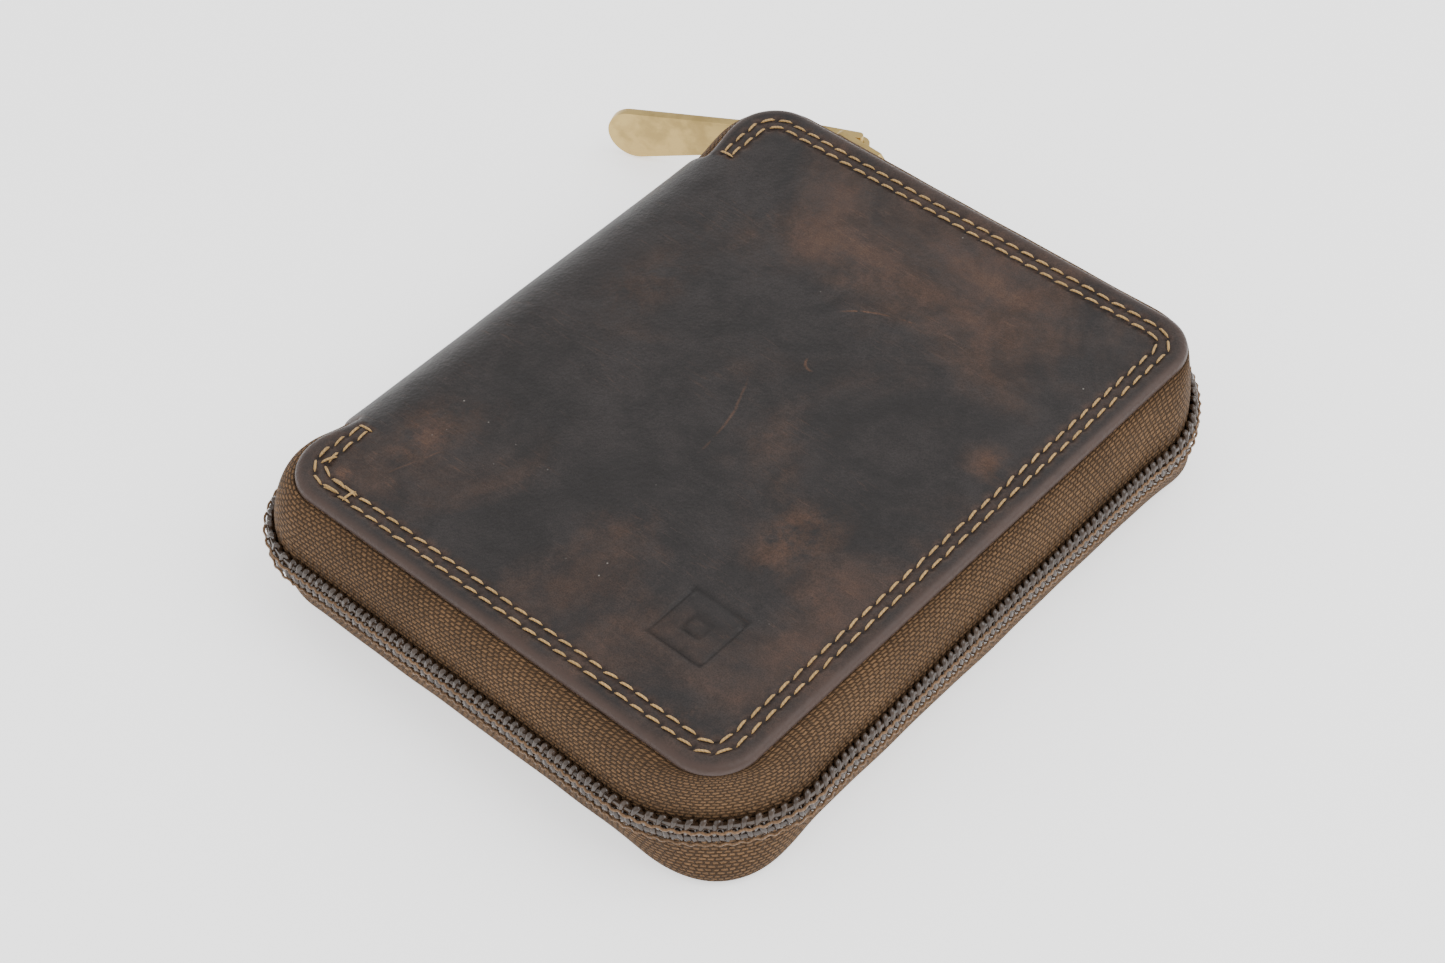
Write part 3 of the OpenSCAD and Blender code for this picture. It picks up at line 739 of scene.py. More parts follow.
def coil_material(zip_sizes):
    made, tree, shader, where = new_material(
        "Nylon coil", **{"Specular_IOR_Level": 0.45, "Coat_Weight": 0.25, "Coat_Roughness": 0.08}
    )
    dirt = noise(tree, where.outputs["Object"], 420.0, 3)
    light = rgba(tuple(min(1, 1.6 * c) for c in zip_sizes.coil))
    colour = blend_colour(tree, band(tree, dirt, 0.42, 0.75), rgba(zip_sizes.coil), light)
    finish(tree, shader, colour, calc(tree, "MULTIPLY_ADD", dirt, 0.2, 0.14),
           dirt, 0.1, 0.02)
    return made


def thread_material(name, colour):
    made, tree, shader, where = new_material(
        name, **{"Specular_IOR_Level": 0.35, "Sheen_Weight": 0.15, "Sheen_Roughness": 0.4}
    )
    place = where.outputs["Object"]
    strands = put(tree, "ShaderNodeTexWave",
                  {"Vector": place, "Scale": 900.0, "Distortion": 1.5, "Detail": 2.0},
                  wave_type="BANDS", bands_direction="DIAGONAL").outputs[1]
    soil = band(tree, noise(tree, place, 130.0, 4), 0.35, 0.7)
    dark = rgba(tuple(0.55 * c for c in colour))
    tone = blend_colour(tree, calc(tree, "MULTIPLY_ADD", soil, 0.5, 0.35), dark, rgba(colour))
    tone = tinted(tree, tone, calc(tree, "MULTIPLY_ADD", strands, 0.3, 0.75))
    finish(tree, shader, tone, calc(tree, "MULTIPLY_ADD", soil, -0.1, 0.66),
           strands, 0.6, 0.06)
    return made


def brass_material(zip_sizes):
    made, tree, shader, where = new_material("Antique brass", **{"Metallic": 1.0})
    worn = use(tree, worn_metal(), {"Vector": where.outputs["Object"]})
    dark = rgba(tuple(0.5 * c for c in zip_sizes.brass))
    colour = blend_colour(tree, times(tree, worn["Blotch"], 0.4), rgba(zip_sizes.brass),
                          dark)
    rough = calc(tree, "ADD", times(tree, worn["Brush"], 0.2), 0.32)
    rough = calc(tree, "ADD", rough, times(tree, worn["Blotch"], 0.1))
    finish(tree, shader, colour, rough, worn["Brush"], 0.15, 0.02)
    return made


def board_material():
    made, tree, shader, where = new_material("Pressed board", **{"Specular_IOR_Level": 0.2})
    pulp = noise(tree, where.outputs["Object"], 900.0, 4, 0.7)
    colour = blend_colour(tree, pulp, (0.38, 0.32, 0.25, 1), (0.56, 0.5, 0.42, 1))
    finish(tree, shader, colour, calc(tree, "MULTIPLY_ADD", pulp, 0.1, 0.8),
           pulp, 0.3, 0.05)
    return made


def film_material():
    made, tree, shader, where = new_material(
        "Clear film", **{"Alpha": 0.28, "IOR": 1.45, "Base_Color": (0.82, 0.85, 0.87, 1)}
    )
    haze = noise(tree, where.outputs["Object"], 55.0, 3)
    finish(tree, shader, None, band(tree, haze, 0.3, 0.75, 0.08, 0.26), haze, 0.15, 0.3)
    return made


def half_body(front):
    return "front_half" if front else "root"


def material(name):
    return bpy.data.materials[name]


def dress(obj, finish, slot, bodies, *nodes, turn=None):
    """Gives a piece its material and hides the nodes it stands for. Without turn it is put under
    its bodies; with turn its transform is only baked, and it gets no body. slot is not used.
    """
    obj.data.materials.clear()
    obj.data.materials.append(material(finish))
    if nodes:
        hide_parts(*nodes)
    if turn:
        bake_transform(obj)
    else:
        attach(obj, bodies)
    return obj


# ---------- covers ----------


def ear_flat(v):
    return ease((np.abs(v) - SPINE_HALF_L + 1) / 9)


def cover_fall(x, y):
    """How far the cover has rolled towards the spine at a place in its plan."""
    gone = np.clip(SPINE_X - x, 0, SPINE_R)
    return (SPINE_R - np.sqrt(SPINE_R**2 - gone**2)) * (1 - ear_flat(y))


def folded(u, v, x, y, depth, front):
    """Point of the flat cover at a depth below its outer face, folded round the spine. The
    leather lies flat towards the ears and rolls into the spine between them."""
    turn = np.clip((SPINE_X - u) / SPINE_R, 0, None)
    reach = SPINE_R - depth
    wound_x = np.where(u < SPINE_X, SPINE_X - reach * np.sin(turn), x)
    wound_z = np.where(u < SPINE_X, MID + reach * np.cos(turn), THICK - depth)
    flat = ear_flat(v)
    z = wound_z + (THICK - depth - wound_z) * flat
    return np.stack([wound_x + (x - wound_x) * flat, y, z if front else THICK - z], -1)


def cover_turn(front):
    """Start and end of the bend between a cover and the spine, in metres."""
    up = 1 if front else -1
    middle = np.array([SPINE_X, 0, MID])
    way = np.array([-1, 0, -up]) / math.sqrt(2)
    tip = np.array([-HALF_W, 0, THICK if front else 0])
    crest = middle + np.array([-SPINE_R, 0, 0])
    start = tip @ way
    end = crest @ way
    return [Vector((middle + way * (s - middle @ way)) * MM) for s in (start, end)]


def cover_grid(leather, cell, inset, fine):
    """Plan of a cover with its spine tongue: grid, mapped plan, edge distance, kept cells."""
    u_lines = lines(
        graded(CREST_U, -HALF_W + inset, False, False, cell),
        graded(-HALF_W + inset, SPINE_X, fine, False, cell),
        graded(SPINE_X, HALF_W - inset, False, fine, cell),
    )
    flap = SPINE_HALF_L - inset
    half = lines(
        graded(0, flap, False, fine, cell),
        graded(flap, HALF_L - inset, fine, fine, cell),
    )
    v_lines = lines(half, -half)
    u, v = np.meshgrid(u_lines, v_lines, indexing="ij")
    um, vm = ((g[:-1, :-1] + g[1:, 1:]) / 2 for g in (u, v))
    keep = ~((um < -HALF_W + inset) & (np.abs(vm) > flap))
    low = (-HALF_W + inset, -HALF_L + inset)
    high = (HALF_W - inset, HALF_L - inset)
    tongue = u < low[0] - 1e-4
    x, y = rounded(np.maximum(u, low[0]), v, low, high, leather.corner_r - inset)
    x = np.where(tongue, u, x)
    past_flap = np.abs(v) - flap
    to_ear_end = np.where(past_flap > -1e-4, u - low[0], np.hypot(u - low[0], past_flap))
    outline = np.minimum(np.minimum(high[0] - u, high[1] - np.abs(v)), to_ear_end)
    shown = np.where(tongue, -past_flap, outline)
    outline = np.where(tongue, 99.0, outline)
    return u, v, x, y, outline, np.abs(shown), keep


def stitch_rows(leather, sewing):
    """The two rows round a cover: places, directions and needle holes."""
    rows = []
    for row in (0, 1):
        inset = sewing.inset + row * sewing.row_gap
        radius = max(0.9, leather.corner_r - inset)
        route = round_route(inset, radius, ROW_START)
        total = route_length(route)
        count = round(total / sewing.pitch)
        middle = (np.arange(count) + 0.5) * total / count
        where, ahead, _ = walk(route, middle)
        holes, _, _ = walk(route, np.arange(count + 1) * total / count)
        rows.append((where, ahead, holes, total / count))
    return rows


def lozenge(x, y, sizes):
    """Depth of the blind stamp, a plain lozenge with a smaller one in its middle."""
    away = np.maximum(np.abs(x - sizes.stamp_x), np.abs(y - sizes.stamp_y)) * 1.35
    total = np.zeros(x.shape)
    for reach, width, depth in ((1.0, 0.5, 0.38), (0.3, 0.5, 0.3)):
        total += depth * np.exp(-(((away - sizes.stamp_half * reach) / width) ** 2))
    return total + 0.08 * ease((sizes.stamp_half - away) / 1.2)


def cover_leather(context, front):
    """One cover with its half of the spine, from one sheet of leather."""
    leather, sewing = context.scene.wallet_leather, context.scene.wallet_stitching
    u, v, x, y, outline, shown, keep = cover_grid(leather, leather.cell, 0.0, True)
    drop = edge_drop(shown, leather.edge_round) * 0.9
    fuzz = np.zeros(u.shape)
    hollow_shade = np.zeros(u.shape)
    sewn = (u > SPINE_X + 4) | (np.abs(v) > SPINE_HALF_L + 0.3)
    for row, (_, _, holes, _) in enumerate(stitch_rows(leather, sewing)):
        inset = sewing.inset + row * sewing.row_gap
        groove = np.exp(-(((outline - inset) / 0.5) ** 2)) * sewn
        drop += leather.groove * groove
        for hx, hy in holes:
            near = (np.abs(x - hx) < 1.6) & (np.abs(y - hy) < 1.6) & sewn
            gone = np.hypot(x[near] - hx, y[near] - hy)
            drop[near] += leather.hole * np.exp(-((gone / 0.42) ** 2))
            # Painted shade: the needle holes are darkened in the leather's colour.
            hollow_shade[near] = np.maximum(hollow_shade[near], np.exp(-((gone / 0.5) ** 4)))
            fuzz[near] = np.maximum(fuzz[near], 0.7 * np.exp(-((gone / 1.0) ** 2)))
    between = np.exp(-(((outline - sewing.inset - sewing.row_gap / 2) / 0.5) ** 2)) * sewn
    margin = np.exp(-(((outline - 1.7) / 0.7) ** 2)) * sewn
    drop -= 0.07 * between + 0.1 * margin
    calm = ease((u - CREST_U - 3) / 14) * ease(shown / 6)
    slow = swells(u, v, 34, 11 if front else 12) * leather.swell
    quick = swells(u, v, 11, 13) * 0.05
    drop += (leather.swell + 0.08 - slow - quick) * calm * 0.8
    bent = np.exp(-(((u + 31) / 9) ** 2) - (((v + 38) / 9) ** 2))
    folds = np.sin((v + 0.45 * u + 1.6 * np.sin(u / 4.0)) * 2 * math.pi / 3.4)
    if front:
        drop += 0.06 * folds * bent * calm
        stamped = lozenge(x, y, leather)
        drop += stamped
        # The stamp's hollows get the same painted shade, deeper where they are deeper.
        hollow_shade = np.maximum(hollow_shade, np.clip(stamped * 1.7, 0, 0.55))
    top = folded(u, v, x, y, drop, front)
    bottom = folded(u, v, x, y, np.full(u.shape, EDGE_T), front)
    rim = 1 - ease((shown - 0.4) / 1.3)
    name = "front_leather" if front else "back_leather"
    marks = {"rim": rim, "fuzz": fuzz, "hollow_shade": hollow_shade}
    obj = closed_sheet(name, top, bottom, keep, np.stack([u, v], -1), marks, flip=not front)
    smooth(obj, 50)
    nodes = ("front_cover", "spine_leather") if front else ("back_cover",)
    return dress(obj, "Waxed hide", "cover_leather", (half_body(front), "spine"), *nodes,
                 turn=cover_turn(front))


def cover_lining(context, front):
    """Lining glued over the board, and on round the inside of the spine."""
    leather = context.scene.wallet_leather
    inset = 0.9
    u, v, x, y, _, shown, keep = cover_grid(leather, 1.6, inset, True)
    toward = ease((SPINE_X + 4 - u) / 4)
    inner = COVER_T - (COVER_T - LEATHER_T - 0.62) * toward
    drop = inner - edge_drop(shown, 0.5) * 0.8
    top = folded(u, v, x, y, inner - 0.5, front)
    bottom = folded(u, v, x, y, drop, front)
    name = "front_lining_cloth" if front else "back_lining_cloth"
    obj = closed_sheet(name, top, bottom, keep, np.stack([u, v], -1), flip=not front)
    smooth(obj, 50)
    nodes = ("front_lining", "spine_lining") if front else ("back_lining",)
    dress(obj, "Twill lining", "lining", (half_body(front), "spine"), *nodes,
          turn=cover_turn(front))
    return obj


def capsule_points(length, thickness, arch, along=7, around=7):
    """Arched thread between two needle holes, along X, as points and faces."""
    t = np.linspace(-1, 1, along)
    reach = np.sqrt(np.clip(1 - np.abs(t) ** 5, 0, 1))
    reach[[0, -1]] = 0.25
    turn = np.arange(around) * 2 * math.pi / around
    ring = np.stack([np.cos(turn), np.sin(turn)], -1)
    points = np.zeros((along, around, 3))
    points[..., 0] = t[:, None] * length / 2
    points[..., 1] = ring[:, 0] * thickness / 2 * reach[:, None]
    height = arch * (1 - np.abs(t) ** 3)
    points[..., 2] = ring[:, 1] * thickness / 2 * 0.85 * reach[:, None] + height[:, None]
    faces = []
    for i in range(along - 1):
        for j in range(around):
            k = (j + 1) % around
            faces.append([i * around + j, i * around + k, (i + 1) * around + k,
                          (i + 1) * around + j])
    caps = [list(range(around))[::-1], [(along - 1) * around + j for j in range(around)]]
    return points.reshape(-1, 3), faces, caps


def sew(name, stitches, thickness, seed, fall=None):
    """One mesh of many arched stitches, each (x, y, z, direction, length, up)."""
    draw = np.random.default_rng(seed)
    all_points, all_faces, base = [], [], 0
    for x, y, z, turn, length, up in stitches:
        z = z - up * float(fall(x, y)) if fall else z
        points, faces, caps = capsule_points(length, thickness * draw.uniform(0.92, 1.06),
                                             thickness * 0.62)
        turn = turn + draw.normal(0, 0.035)
        c, s = math.cos(turn), math.sin(turn)
        px = points[:, 0] * c - points[:, 1] * s
        py = points[:, 0] * s + points[:, 1] * c
        pz = points[:, 2] + draw.normal(0, 0.02)
        placed = np.stack([px + x, py + y + draw.normal(0, 0.03), z + up * pz], -1)
        if up < 0:
            faces, caps = [f[::-1] for f in faces], [f[::-1] for f in caps]
        all_points.append(placed)
        all_faces += [[i + base for i in f] for f in faces + caps]
        base += len(points)
    mesh = bpy.data.meshes.new(name)
    mesh.from_pydata((np.concatenate(all_points) * MM).tolist(), [], all_faces)
    obj = bpy.data.objects.new(name, mesh)
    bpy.context.scene.collection.objects.link(obj)
    smooth(obj, 60)
    return obj


SLANT = 0.11  # turn of a stitch from its row


def cover_stitches(context, front):
    """Two rows of stitches round a cover, with back-tacks at the ears."""
    leather, sewing = context.scene.wallet_leather, context.scene.wallet_stitching
    z = THICK - leather.groove - 0.12 if front else leather.groove + 0.12
    up = 1 if front else -1
    stitches = []
    for where, ahead, _, pitch in stitch_rows(leather, sewing):
        for (x, y), (dx, dy) in zip(where, ahead):
            stitches.append((x, y, z, math.atan2(dy, dx) + up * SLANT, pitch * 0.8, up))
    inner = sewing.inset + sewing.row_gap
    near = -HALF_L + sewing.inset
    left = -HALF_W + sewing.inset
    tacks = [  # extra stitches sewn over the ends of the rows
        (left + 6.4, near + 0.1, 0.1, 3.2), (left + 8.8, near + 1.7, -0.12, 3.0),
        (left + 9.6, near + sewing.row_gap / 2, 1.45, sewing.row_gap + 0.7),
        (left + 6.8, near + 1.6, 0.05, 2.8), (left + 0.1, near + 4.6, 1.7, 2.4),
        (left + sewing.row_gap, near + 4.0, 1.2, 2.6),
    ]
    for x, y, turn, length in tacks:
        stitches.append((x, y, z + up * 0.2, turn, length, up))
    for side in (-1, 1):
        stitches.append((-HALF_W + (sewing.inset + inner) / 2, side * ROW_START, z, 0.05,
                         sewing.row_gap + 0.7, up))
    name = "front_stitching" if front else "back_stitching"
    obj = sew(name, stitches, sewing.thread_d, 21 if front else 22, cover_fall)
    nodes = ("cover_stitching",) if front else ()
    return dress(obj, "Waxed thread", "thread", half_body(front), *nodes)


# ---------- main zip ----------

SPINE_CORNER_R = 8.0


def ring(open_r):
    """Matched points round three sides of the cover's outline, with a given radius at the
    opening side's corners, from the far end of the spine to the near one."""
    spine_r = SPINE_CORNER_R
    runs = [
        np.linspace((-HALF_W, SPINE_HALF_L + 0.3), (-HALF_W, HALF_L - spine_r), 10),
        arc(-HALF_W + spine_r, HALF_L - spine_r, spine_r, 180, 90, 26)[1:],
        np.linspace((-HALF_W + spine_r, HALF_L), (HALF_W - open_r, HALF_L), 120)[1:],
        arc(HALF_W - open_r, HALF_L - open_r, open_r, 90, 0, 44)[1:],
        np.linspace((HALF_W, HALF_L - open_r), (HALF_W, 0), 72)[1:],
    ]
    far = np.concatenate(runs)
    return np.concatenate([far, far[-2::-1] * (1, -1)])


def chain_place(where):
    """Bulge of the gusset and lift of the chain at plan points of its route."""
    x, y = where[..., 0], where[..., 1]
    opening = ease((x - 26) / 16)
    near = ease((-y - 30) / 16)
    bulge = BULGE + 0.2 * near * (1 - opening) - 0.8 * opening * ease((46 - np.abs(y)) / 12)
    bulge = bulge + 0.14 * swells(x, y, 46, 5) * ease((x + 30) / 10) * np.maximum(opening, near)
    lift = 0.3 * np.maximum(opening * ease((50 - y) / 10), near * ease((x + 40) / 12))
    return bulge, lift


def lower_sag(where):
    """How far the lower tape rolls out over the back cover's edge."""
    x, y = where[..., 0], where[..., 1]
    corner = np.exp(-(((x - 42) / 11) ** 2) - (((np.abs(y) - 53) / 11) ** 2))
    short = ease((np.abs(y) - 40) / 12) * (1 - corner)
    return 0.25 + 0.6 * short + 1.35 * corner + 0.1 * swells(x, y, 21, 77)


def zip_turn(upper):
    """Start and end of the bend of the zip's spine ends."""
    z = THICK - EDGE_T if upper else EDGE_T
    return [Vector((x * MM, 0, (z + MID) / 2 * MM)) for x in (-HALF_W + 1.0, -HALF_W - BULGE)]


def zip_tape(context, upper):
    """Woven gusset tape from its hem under the cover out to the chain."""
    sizes = context.scene.wallet_zip
    base_ring, chain_ring = ring(SPINE_CORNER_R), ring(sizes.corner_r)
    away = np.concatenate([[0], np.cumsum(np.linalg.norm(np.diff(chain_ring, axis=0), axis=1))])
    normals = []
    for route in (base_ring, chain_ring):
        ahead = np.gradient(route, axis=0)
        ahead /= np.linalg.norm(ahead, axis=1, keepdims=True)
        normals.append(np.stack([-ahead[:, 1], ahead[:, 0]], 1))
    bulge, lift = chain_place(chain_ring)
    chain = chain_ring + normals[1] * bulge[:, None]
    sign = -1 if upper else 1
    base = (THICK if upper else 0) + sign * (EDGE_T + 0.05 + cover_fall(*base_ring.T))
    rise = np.abs(MID + lift - base) - 0.12
    steps = np.linspace(0, 1, 30)
    hem = np.linspace(-sizes.hem, 0, 5)[:-1]
    sag = np.zeros(len(away)) if upper else lower_sag(chain_ring)
    ripple = swells(away[:, None], np.arange(30)[None] * 1.2, 17, 31) * 0.12
    faces = []
    for depth in (0.0, sizes.tape_t):
        rows = [(base_ring + normals[0] * h, base + sign * depth) for h in hem]
        for k, t in enumerate(steps):
            a = t * math.pi / 2
            roll = math.sin(math.pi * t**0.55) ** 2
            out = sag * roll + ripple[:, k] * math.sin(math.pi * t) - depth * math.sin(a)
            plan = base_ring + (chain - base_ring) * math.sin(a) + normals[0] * out[:, None]
            z = base + sign * (depth * math.cos(a) + rise * (1 - math.cos(a)) - sag * 0.55 * roll)
            rows.append((plan, z))
        faces.append(np.stack([np.column_stack(row) for row in rows], 1))
    top, bottom = faces
    across = np.concatenate([[0], np.cumsum(np.linalg.norm(np.diff(top, axis=1), axis=-1).mean(0))])
    uv = np.stack(np.broadcast_arrays(away[:, None], across[None]), -1)
    keep = np.ones((len(away) - 1, len(across) - 1), bool)
    marks = {"pucker": np.broadcast_to(
        np.exp(-(((across[-1] - across - 3.6) / 0.9) ** 2)), uv.shape[:2])}
    name = "upper_tape" if upper else "lower_tape"
    obj = closed_sheet(name, top, bottom, keep, uv, marks, flip=upper)
    smooth(obj, 60)
    nodes = ("upper_zip_tape", "near_zip_end", "far_zip_end") if upper else ("lower_zip_tape",)
    dress(obj, "Woven tape", "tape", (half_body(upper), "spine"), *nodes, turn=zip_turn(upper))
    return obj


def coil_start(route):
    """Distance along the route of the coils' far end, just past the top stops."""
    s = np.linspace(0, 40, 400)
    where, _, _ = walk(route, s)
    return float(s[np.argmax(where[:, 0] > SLIDER_X - 4.6)])


def zip_coil(context, upper):
    """Nylon coil, its sewing threads, and the chain's closed near end."""
    sizes = context.scene.wallet_zip
    route = ring(sizes.corner_r)
    total = route_length(route)
    start, stop = coil_start(route), total - 1.2
    turns = int((stop - start) / sizes.coil_pitch)
    steps = 14
    t = np.arange(turns * steps + 1) / steps
    s = start + (t + (0.5 if upper else 0.0)) * sizes.coil_pitch * 0.9985
    s = s[s < stop]
    t = t[: len(s)]
    where, _, outward = walk(route, s)
    bulge, lift = chain_place(where)
    side = 1 if upper else -1
    width = sizes.half_chain if upper else sizes.half_lower
    heads, back = -0.3, width - sizes.wire_d / 2
    middle, half = (back + heads) / 2, (back - heads) / 2
    turn = 2 * math.pi * t
    h = middle + half * np.sign(np.cos(turn)) * np.abs(np.cos(turn)) ** 0.8
    body = (sizes.coil_t - sizes.wire_d) / 2
    o = bulge + sizes.wire_d / 2 + body + body * np.sin(turn) - 0.05 * h**2
    points = np.empty((len(s), 3))
    points[:, :2] = where + outward * o[:, None]
    points[:, 2] = MID + lift + side * h
    slim = 1 - 0.2 * ease((0.6 - h) / 0.8)
    cord = points.copy()
    cord[:, :2] = where + outward * (bulge + sizes.coil_t / 2 - 0.1)[:, None]
    cord[:, 2] = MID + lift + side * width / 2
    name = "upper_coil" if upper else "lower_coil"
    obj = tube(name, [points, cord[::5]], sizes.wire_d, [slim, np.full(len(cord[::5]), 1.15)])
    bodies = (half_body(upper), "spine")
    nodes = ("upper_zip_coil", "near_coil_end") if upper else ("lower_zip_coil",)
    dress(obj, "Nylon coil", "coil", bodies, *nodes, turn=zip_turn(upper))
    row = 1.0 if upper else 1.8
    s2 = np.arange(start, stop, sizes.coil_pitch / 6)
    where, _, outward = walk(route, s2)
    bulge, lift = chain_place(where)
    wave = 2 * math.pi * s2 / sizes.coil_pitch
    out = bulge + sizes.coil_t + 0.04 + 0.14 * np.cos(wave) - 0.05 * row**2
    run = np.empty((len(s2), 3))
    run[:, :2] = where + outward * out[:, None]
    run[:, 2] = MID + lift + side * (row + 0.16 * np.sin(wave))
    thread = tube(name.replace("coil", "coil_thread"), [run], 0.44)
    dress(thread, "Tape thread", "tape", bodies, turn=zip_turn(upper))
    return obj


# ---------- metal ----------


def metal_copy(name, node, body, bevel_mm):
    """Merged copy of a CAD solid with its edges softened."""
    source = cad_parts[node]
    obj = bpy.data.objects.new(name, source.data.copy())
    bpy.context.scene.collection.objects.link(obj)
    pick(obj)
    bpy.ops.object.mode_set(mode="EDIT")
    bpy.ops.mesh.select_all(action="SELECT")
    bpy.ops.mesh.remove_doubles(threshold=1e-6)
    bpy.ops.mesh.dissolve_limited(angle_limit=math.radians(1.5))
    bpy.ops.object.mode_set(mode="OBJECT")
    soften = obj.modifiers.new("Soften", "BEVEL")
    soften.width = bevel_mm * MM
    soften.segments = 3
    soften.limit_method = "ANGLE"
    soften.angle_limit = math.radians(35)
    soften.use_clamp_overlap = True
    bpy.ops.object.modifier_apply(modifier=soften.name)
    smooth(obj, 38)
    return dress(obj, "Antique brass", "antique_brass", body, node)


METAL = {  # piece name: CAD node, body, softening of its edges in mm
    "slider_body_metal": ("slider_body", "slider", 0.3),
    "slider_bail_metal": ("slider_bail", "slider", 0.25),
    "pull_link_metal": ("pull_link", "link", 0.3),
    "pull_tab_metal": ("pull_tab", "tab", 0.28),
    "lower_top_stop_metal": ("lower_top_stop", "root", 0.15),
    "upper_top_stop_metal": ("upper_top_stop", "front_half", 0.15),
    "bottom_stop_metal": ("bottom_stop", "spine", 0.12),
    "coin_slider_metal": ("coin_slider_body", "coin_slider", 0.2),
    "coin_bail_metal": ("coin_slider_bail", "coin_slider", 0.16),
    "coin_pull_metal": ("coin_pull", "coin_pull", 0.18),
    "coin_stops_metal": ("coin_zip_stops", "front_half", 0.15),
}


# ---------- inner panels ----------


def panel(context, name, node, finish, slot, body, radius, lip=(), holes=(), facing=1):
    """Soft-edged plate in a CAD node's box, with round corners, creases and openings.
    facing is the side that shows: 1 upwards, -1 downwards."""
    sizes = context.scene.wallet_inside
    low, high = box_mm(node)
    cell = sizes.cell
    x_runs = [graded(low[0], high[0], True, True, cell)]
    y_runs = [graded(low[1], high[1], True, True, cell)]
    for x0, x1, y0, y1 in holes:
        x_runs += [[x0, x0 - 0.2, x0 - 0.5, x1, x1 + 0.2, x1 + 0.5]]
        y_runs += [[y0, y0 - 0.2, y0 - 0.5, y1, y1 + 0.2, y1 + 0.5]]
    x, y = np.meshgrid(lines(*x_runs), lines(*y_runs), indexing="ij")
    edge = np.minimum(np.minimum(x - low[0], high[0] - x), np.minimum(y - low[1], high[1] - y))
    xm, ym = ((g[:-1, :-1] + g[1:, 1:]) / 2 for g in (x, y))
    keep = np.ones(xm.shape, bool)
    for x0, x1, y0, y1 in holes:
        keep &= ~((xm > x0) & (xm < x1) & (ym > y0) & (ym < y1))
        gone = np.maximum(np.maximum(x0 - x, x - x1), np.maximum(y0 - y, y - y1))
        edge = np.minimum(edge, np.abs(gone))
    drop = edge_drop(edge, sizes.round) * 0.9
    for kind, place, depth in lip:
        away = edge - place if kind == "edge" else x - place
        drop = drop + depth * np.exp(-((away / 0.45) ** 2))
    wave = swells(x, y, 30, 41) * 0.05 + 0.05
    drop = drop + wave * ease(edge / 3)
    if radius:
        x, y = rounded(x, y, low[:2], high[:2], radius)
    face, back = (high[2], low[2]) if facing > 0 else (low[2], high[2])
    top = np.stack([x, y, face - facing * drop], -1)
    bottom = np.stack([x, y, np.full(x.shape, back)], -1)
    obj = closed_sheet(name, top, bottom, keep, np.stack([x, y], -1), flip=facing < 0)
    smooth(obj, 50)
    return dress(obj, finish, slot, body, node)


def seam(name, runs, z, up, pitch, thread_d, body, seed):
    """Straight rows of stitches on a panel, each run from one point to another."""
    stitches = []
    for (x0, y0), (x1, y1) in runs:
        total = math.hypot(x1 - x0, y1 - y0)
        count = max(1, round(total / pitch))
        for i in range(count):
            t = (i + 0.5) / count
            stitches.append((x0 + (x1 - x0) * t, y0 + (y1 - y0) * t, z,
                             math.atan2(y1 - y0, x1 - x0), total / count * 0.86, up))
    obj = sew(name, stitches, thread_d, seed)
    return dress(obj, "Waxed thread", "thread", body)


def coin_coil(context, name, side):
    """One coil of the coin zip."""
    sizes = context.scene.wallet_inside
    low, high = box_mm("coin_zip_coils")
    centre = (low[0] + high[0]) / 2
    wire = 0.48
    turns = int((high[1] - low[1]) / sizes.coil_pitch)
    t = np.arange(turns * 12) / 12
    turn = 2 * math.pi * t
    back = high[0] - centre - wire / 2
    h = (back - 0.25) / 2 + (back + 0.25) / 2 * np.cos(turn)
    half_z = (high[2] - low[2] - wire) / 2
    y = low[1] + (t + (0.5 if side > 0 else 0)) * sizes.coil_pitch
    points = np.stack([centre + side * h, y, (low[2] + high[2]) / 2 + half_z * np.sin(turn)], -1)
    return tube(name, [points[y < high[1]]], wire)


# ---------- operators ----------


def both(build, context):
    """Builds a piece of the front half, then its match in the back half."""
    for front in (True, False):
        build(context, front)
    return {"FINISHED"}


class WALLET_OT_materials(bpy.types.Operator):
    """Makes the leathers, cloths, thread, nylon, film and metal"""

    bl_idname = "wallet.materials"
    bl_label = "Make materials"

    def execute(self, context):
        scene = context.scene
        cover_leather_material(scene.wallet_leather)
        inner_leather_material(scene.wallet_leather)
        tape_material(scene.wallet_zip)
        lining_material(scene.wallet_inside)
        coil_material(scene.wallet_zip)
        thread_material("Waxed thread", tuple(scene.wallet_stitching.thread))
        thread_material("Tape thread", tuple(1.15 * c for c in scene.wallet_zip.tape))
        brass_material(scene.wallet_zip)
        board_material()
        film_material()
        return {"FINISHED"}


class WALLET_OT_covers(bpy.types.Operator):
    """Shapes both covers and the spine from sheet leather"""

    bl_idname = "wallet.covers"
    bl_label = "Shape covers"

    def execute(self, context):
        return both(cover_leather, context)


class WALLET_OT_boards(bpy.types.Operator):
    """Gives the stiffening boards their finish"""

    bl_idname = "wallet.boards"
    bl_label = "Finish boards"

    def execute(self, context):
        for node in ("front_board", "back_board"):
            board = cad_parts[node]
            board.data.materials.clear()
            board.data.materials.append(material("Pressed board"))
        return {"FINISHED"}


class WALLET_OT_linings(bpy.types.Operator):
    """Lays the linings over the boards and round the inside of the spine"""

    bl_idname = "wallet.linings"
    bl_label = "Lay linings"

    def execute(self, context):
        return both(cover_lining, context)


class WALLET_OT_stitching(bpy.types.Operator):
    """Sews the two rows of stitches round both covers"""

    bl_idname = "wallet.stitching"
    bl_label = "Sew covers"

    def execute(self, context):
        return both(cover_stitches, context)


class WALLET_OT_zip_tapes(bpy.types.Operator):
    """Makes the woven gusset tapes of the main zip"""

    bl_idname = "wallet.zip_tapes"
    bl_label = "Make zip tapes"

    def execute(self, context):
        return both(zip_tape, context)


class WALLET_OT_zip_coils(bpy.types.Operator):
    """Winds the nylon coils and sews them on to the tapes"""

    bl_idname = "wallet.zip_coils"
    bl_label = "Wind zip coils"

    def execute(self, context):
        return both(zip_coil, context)


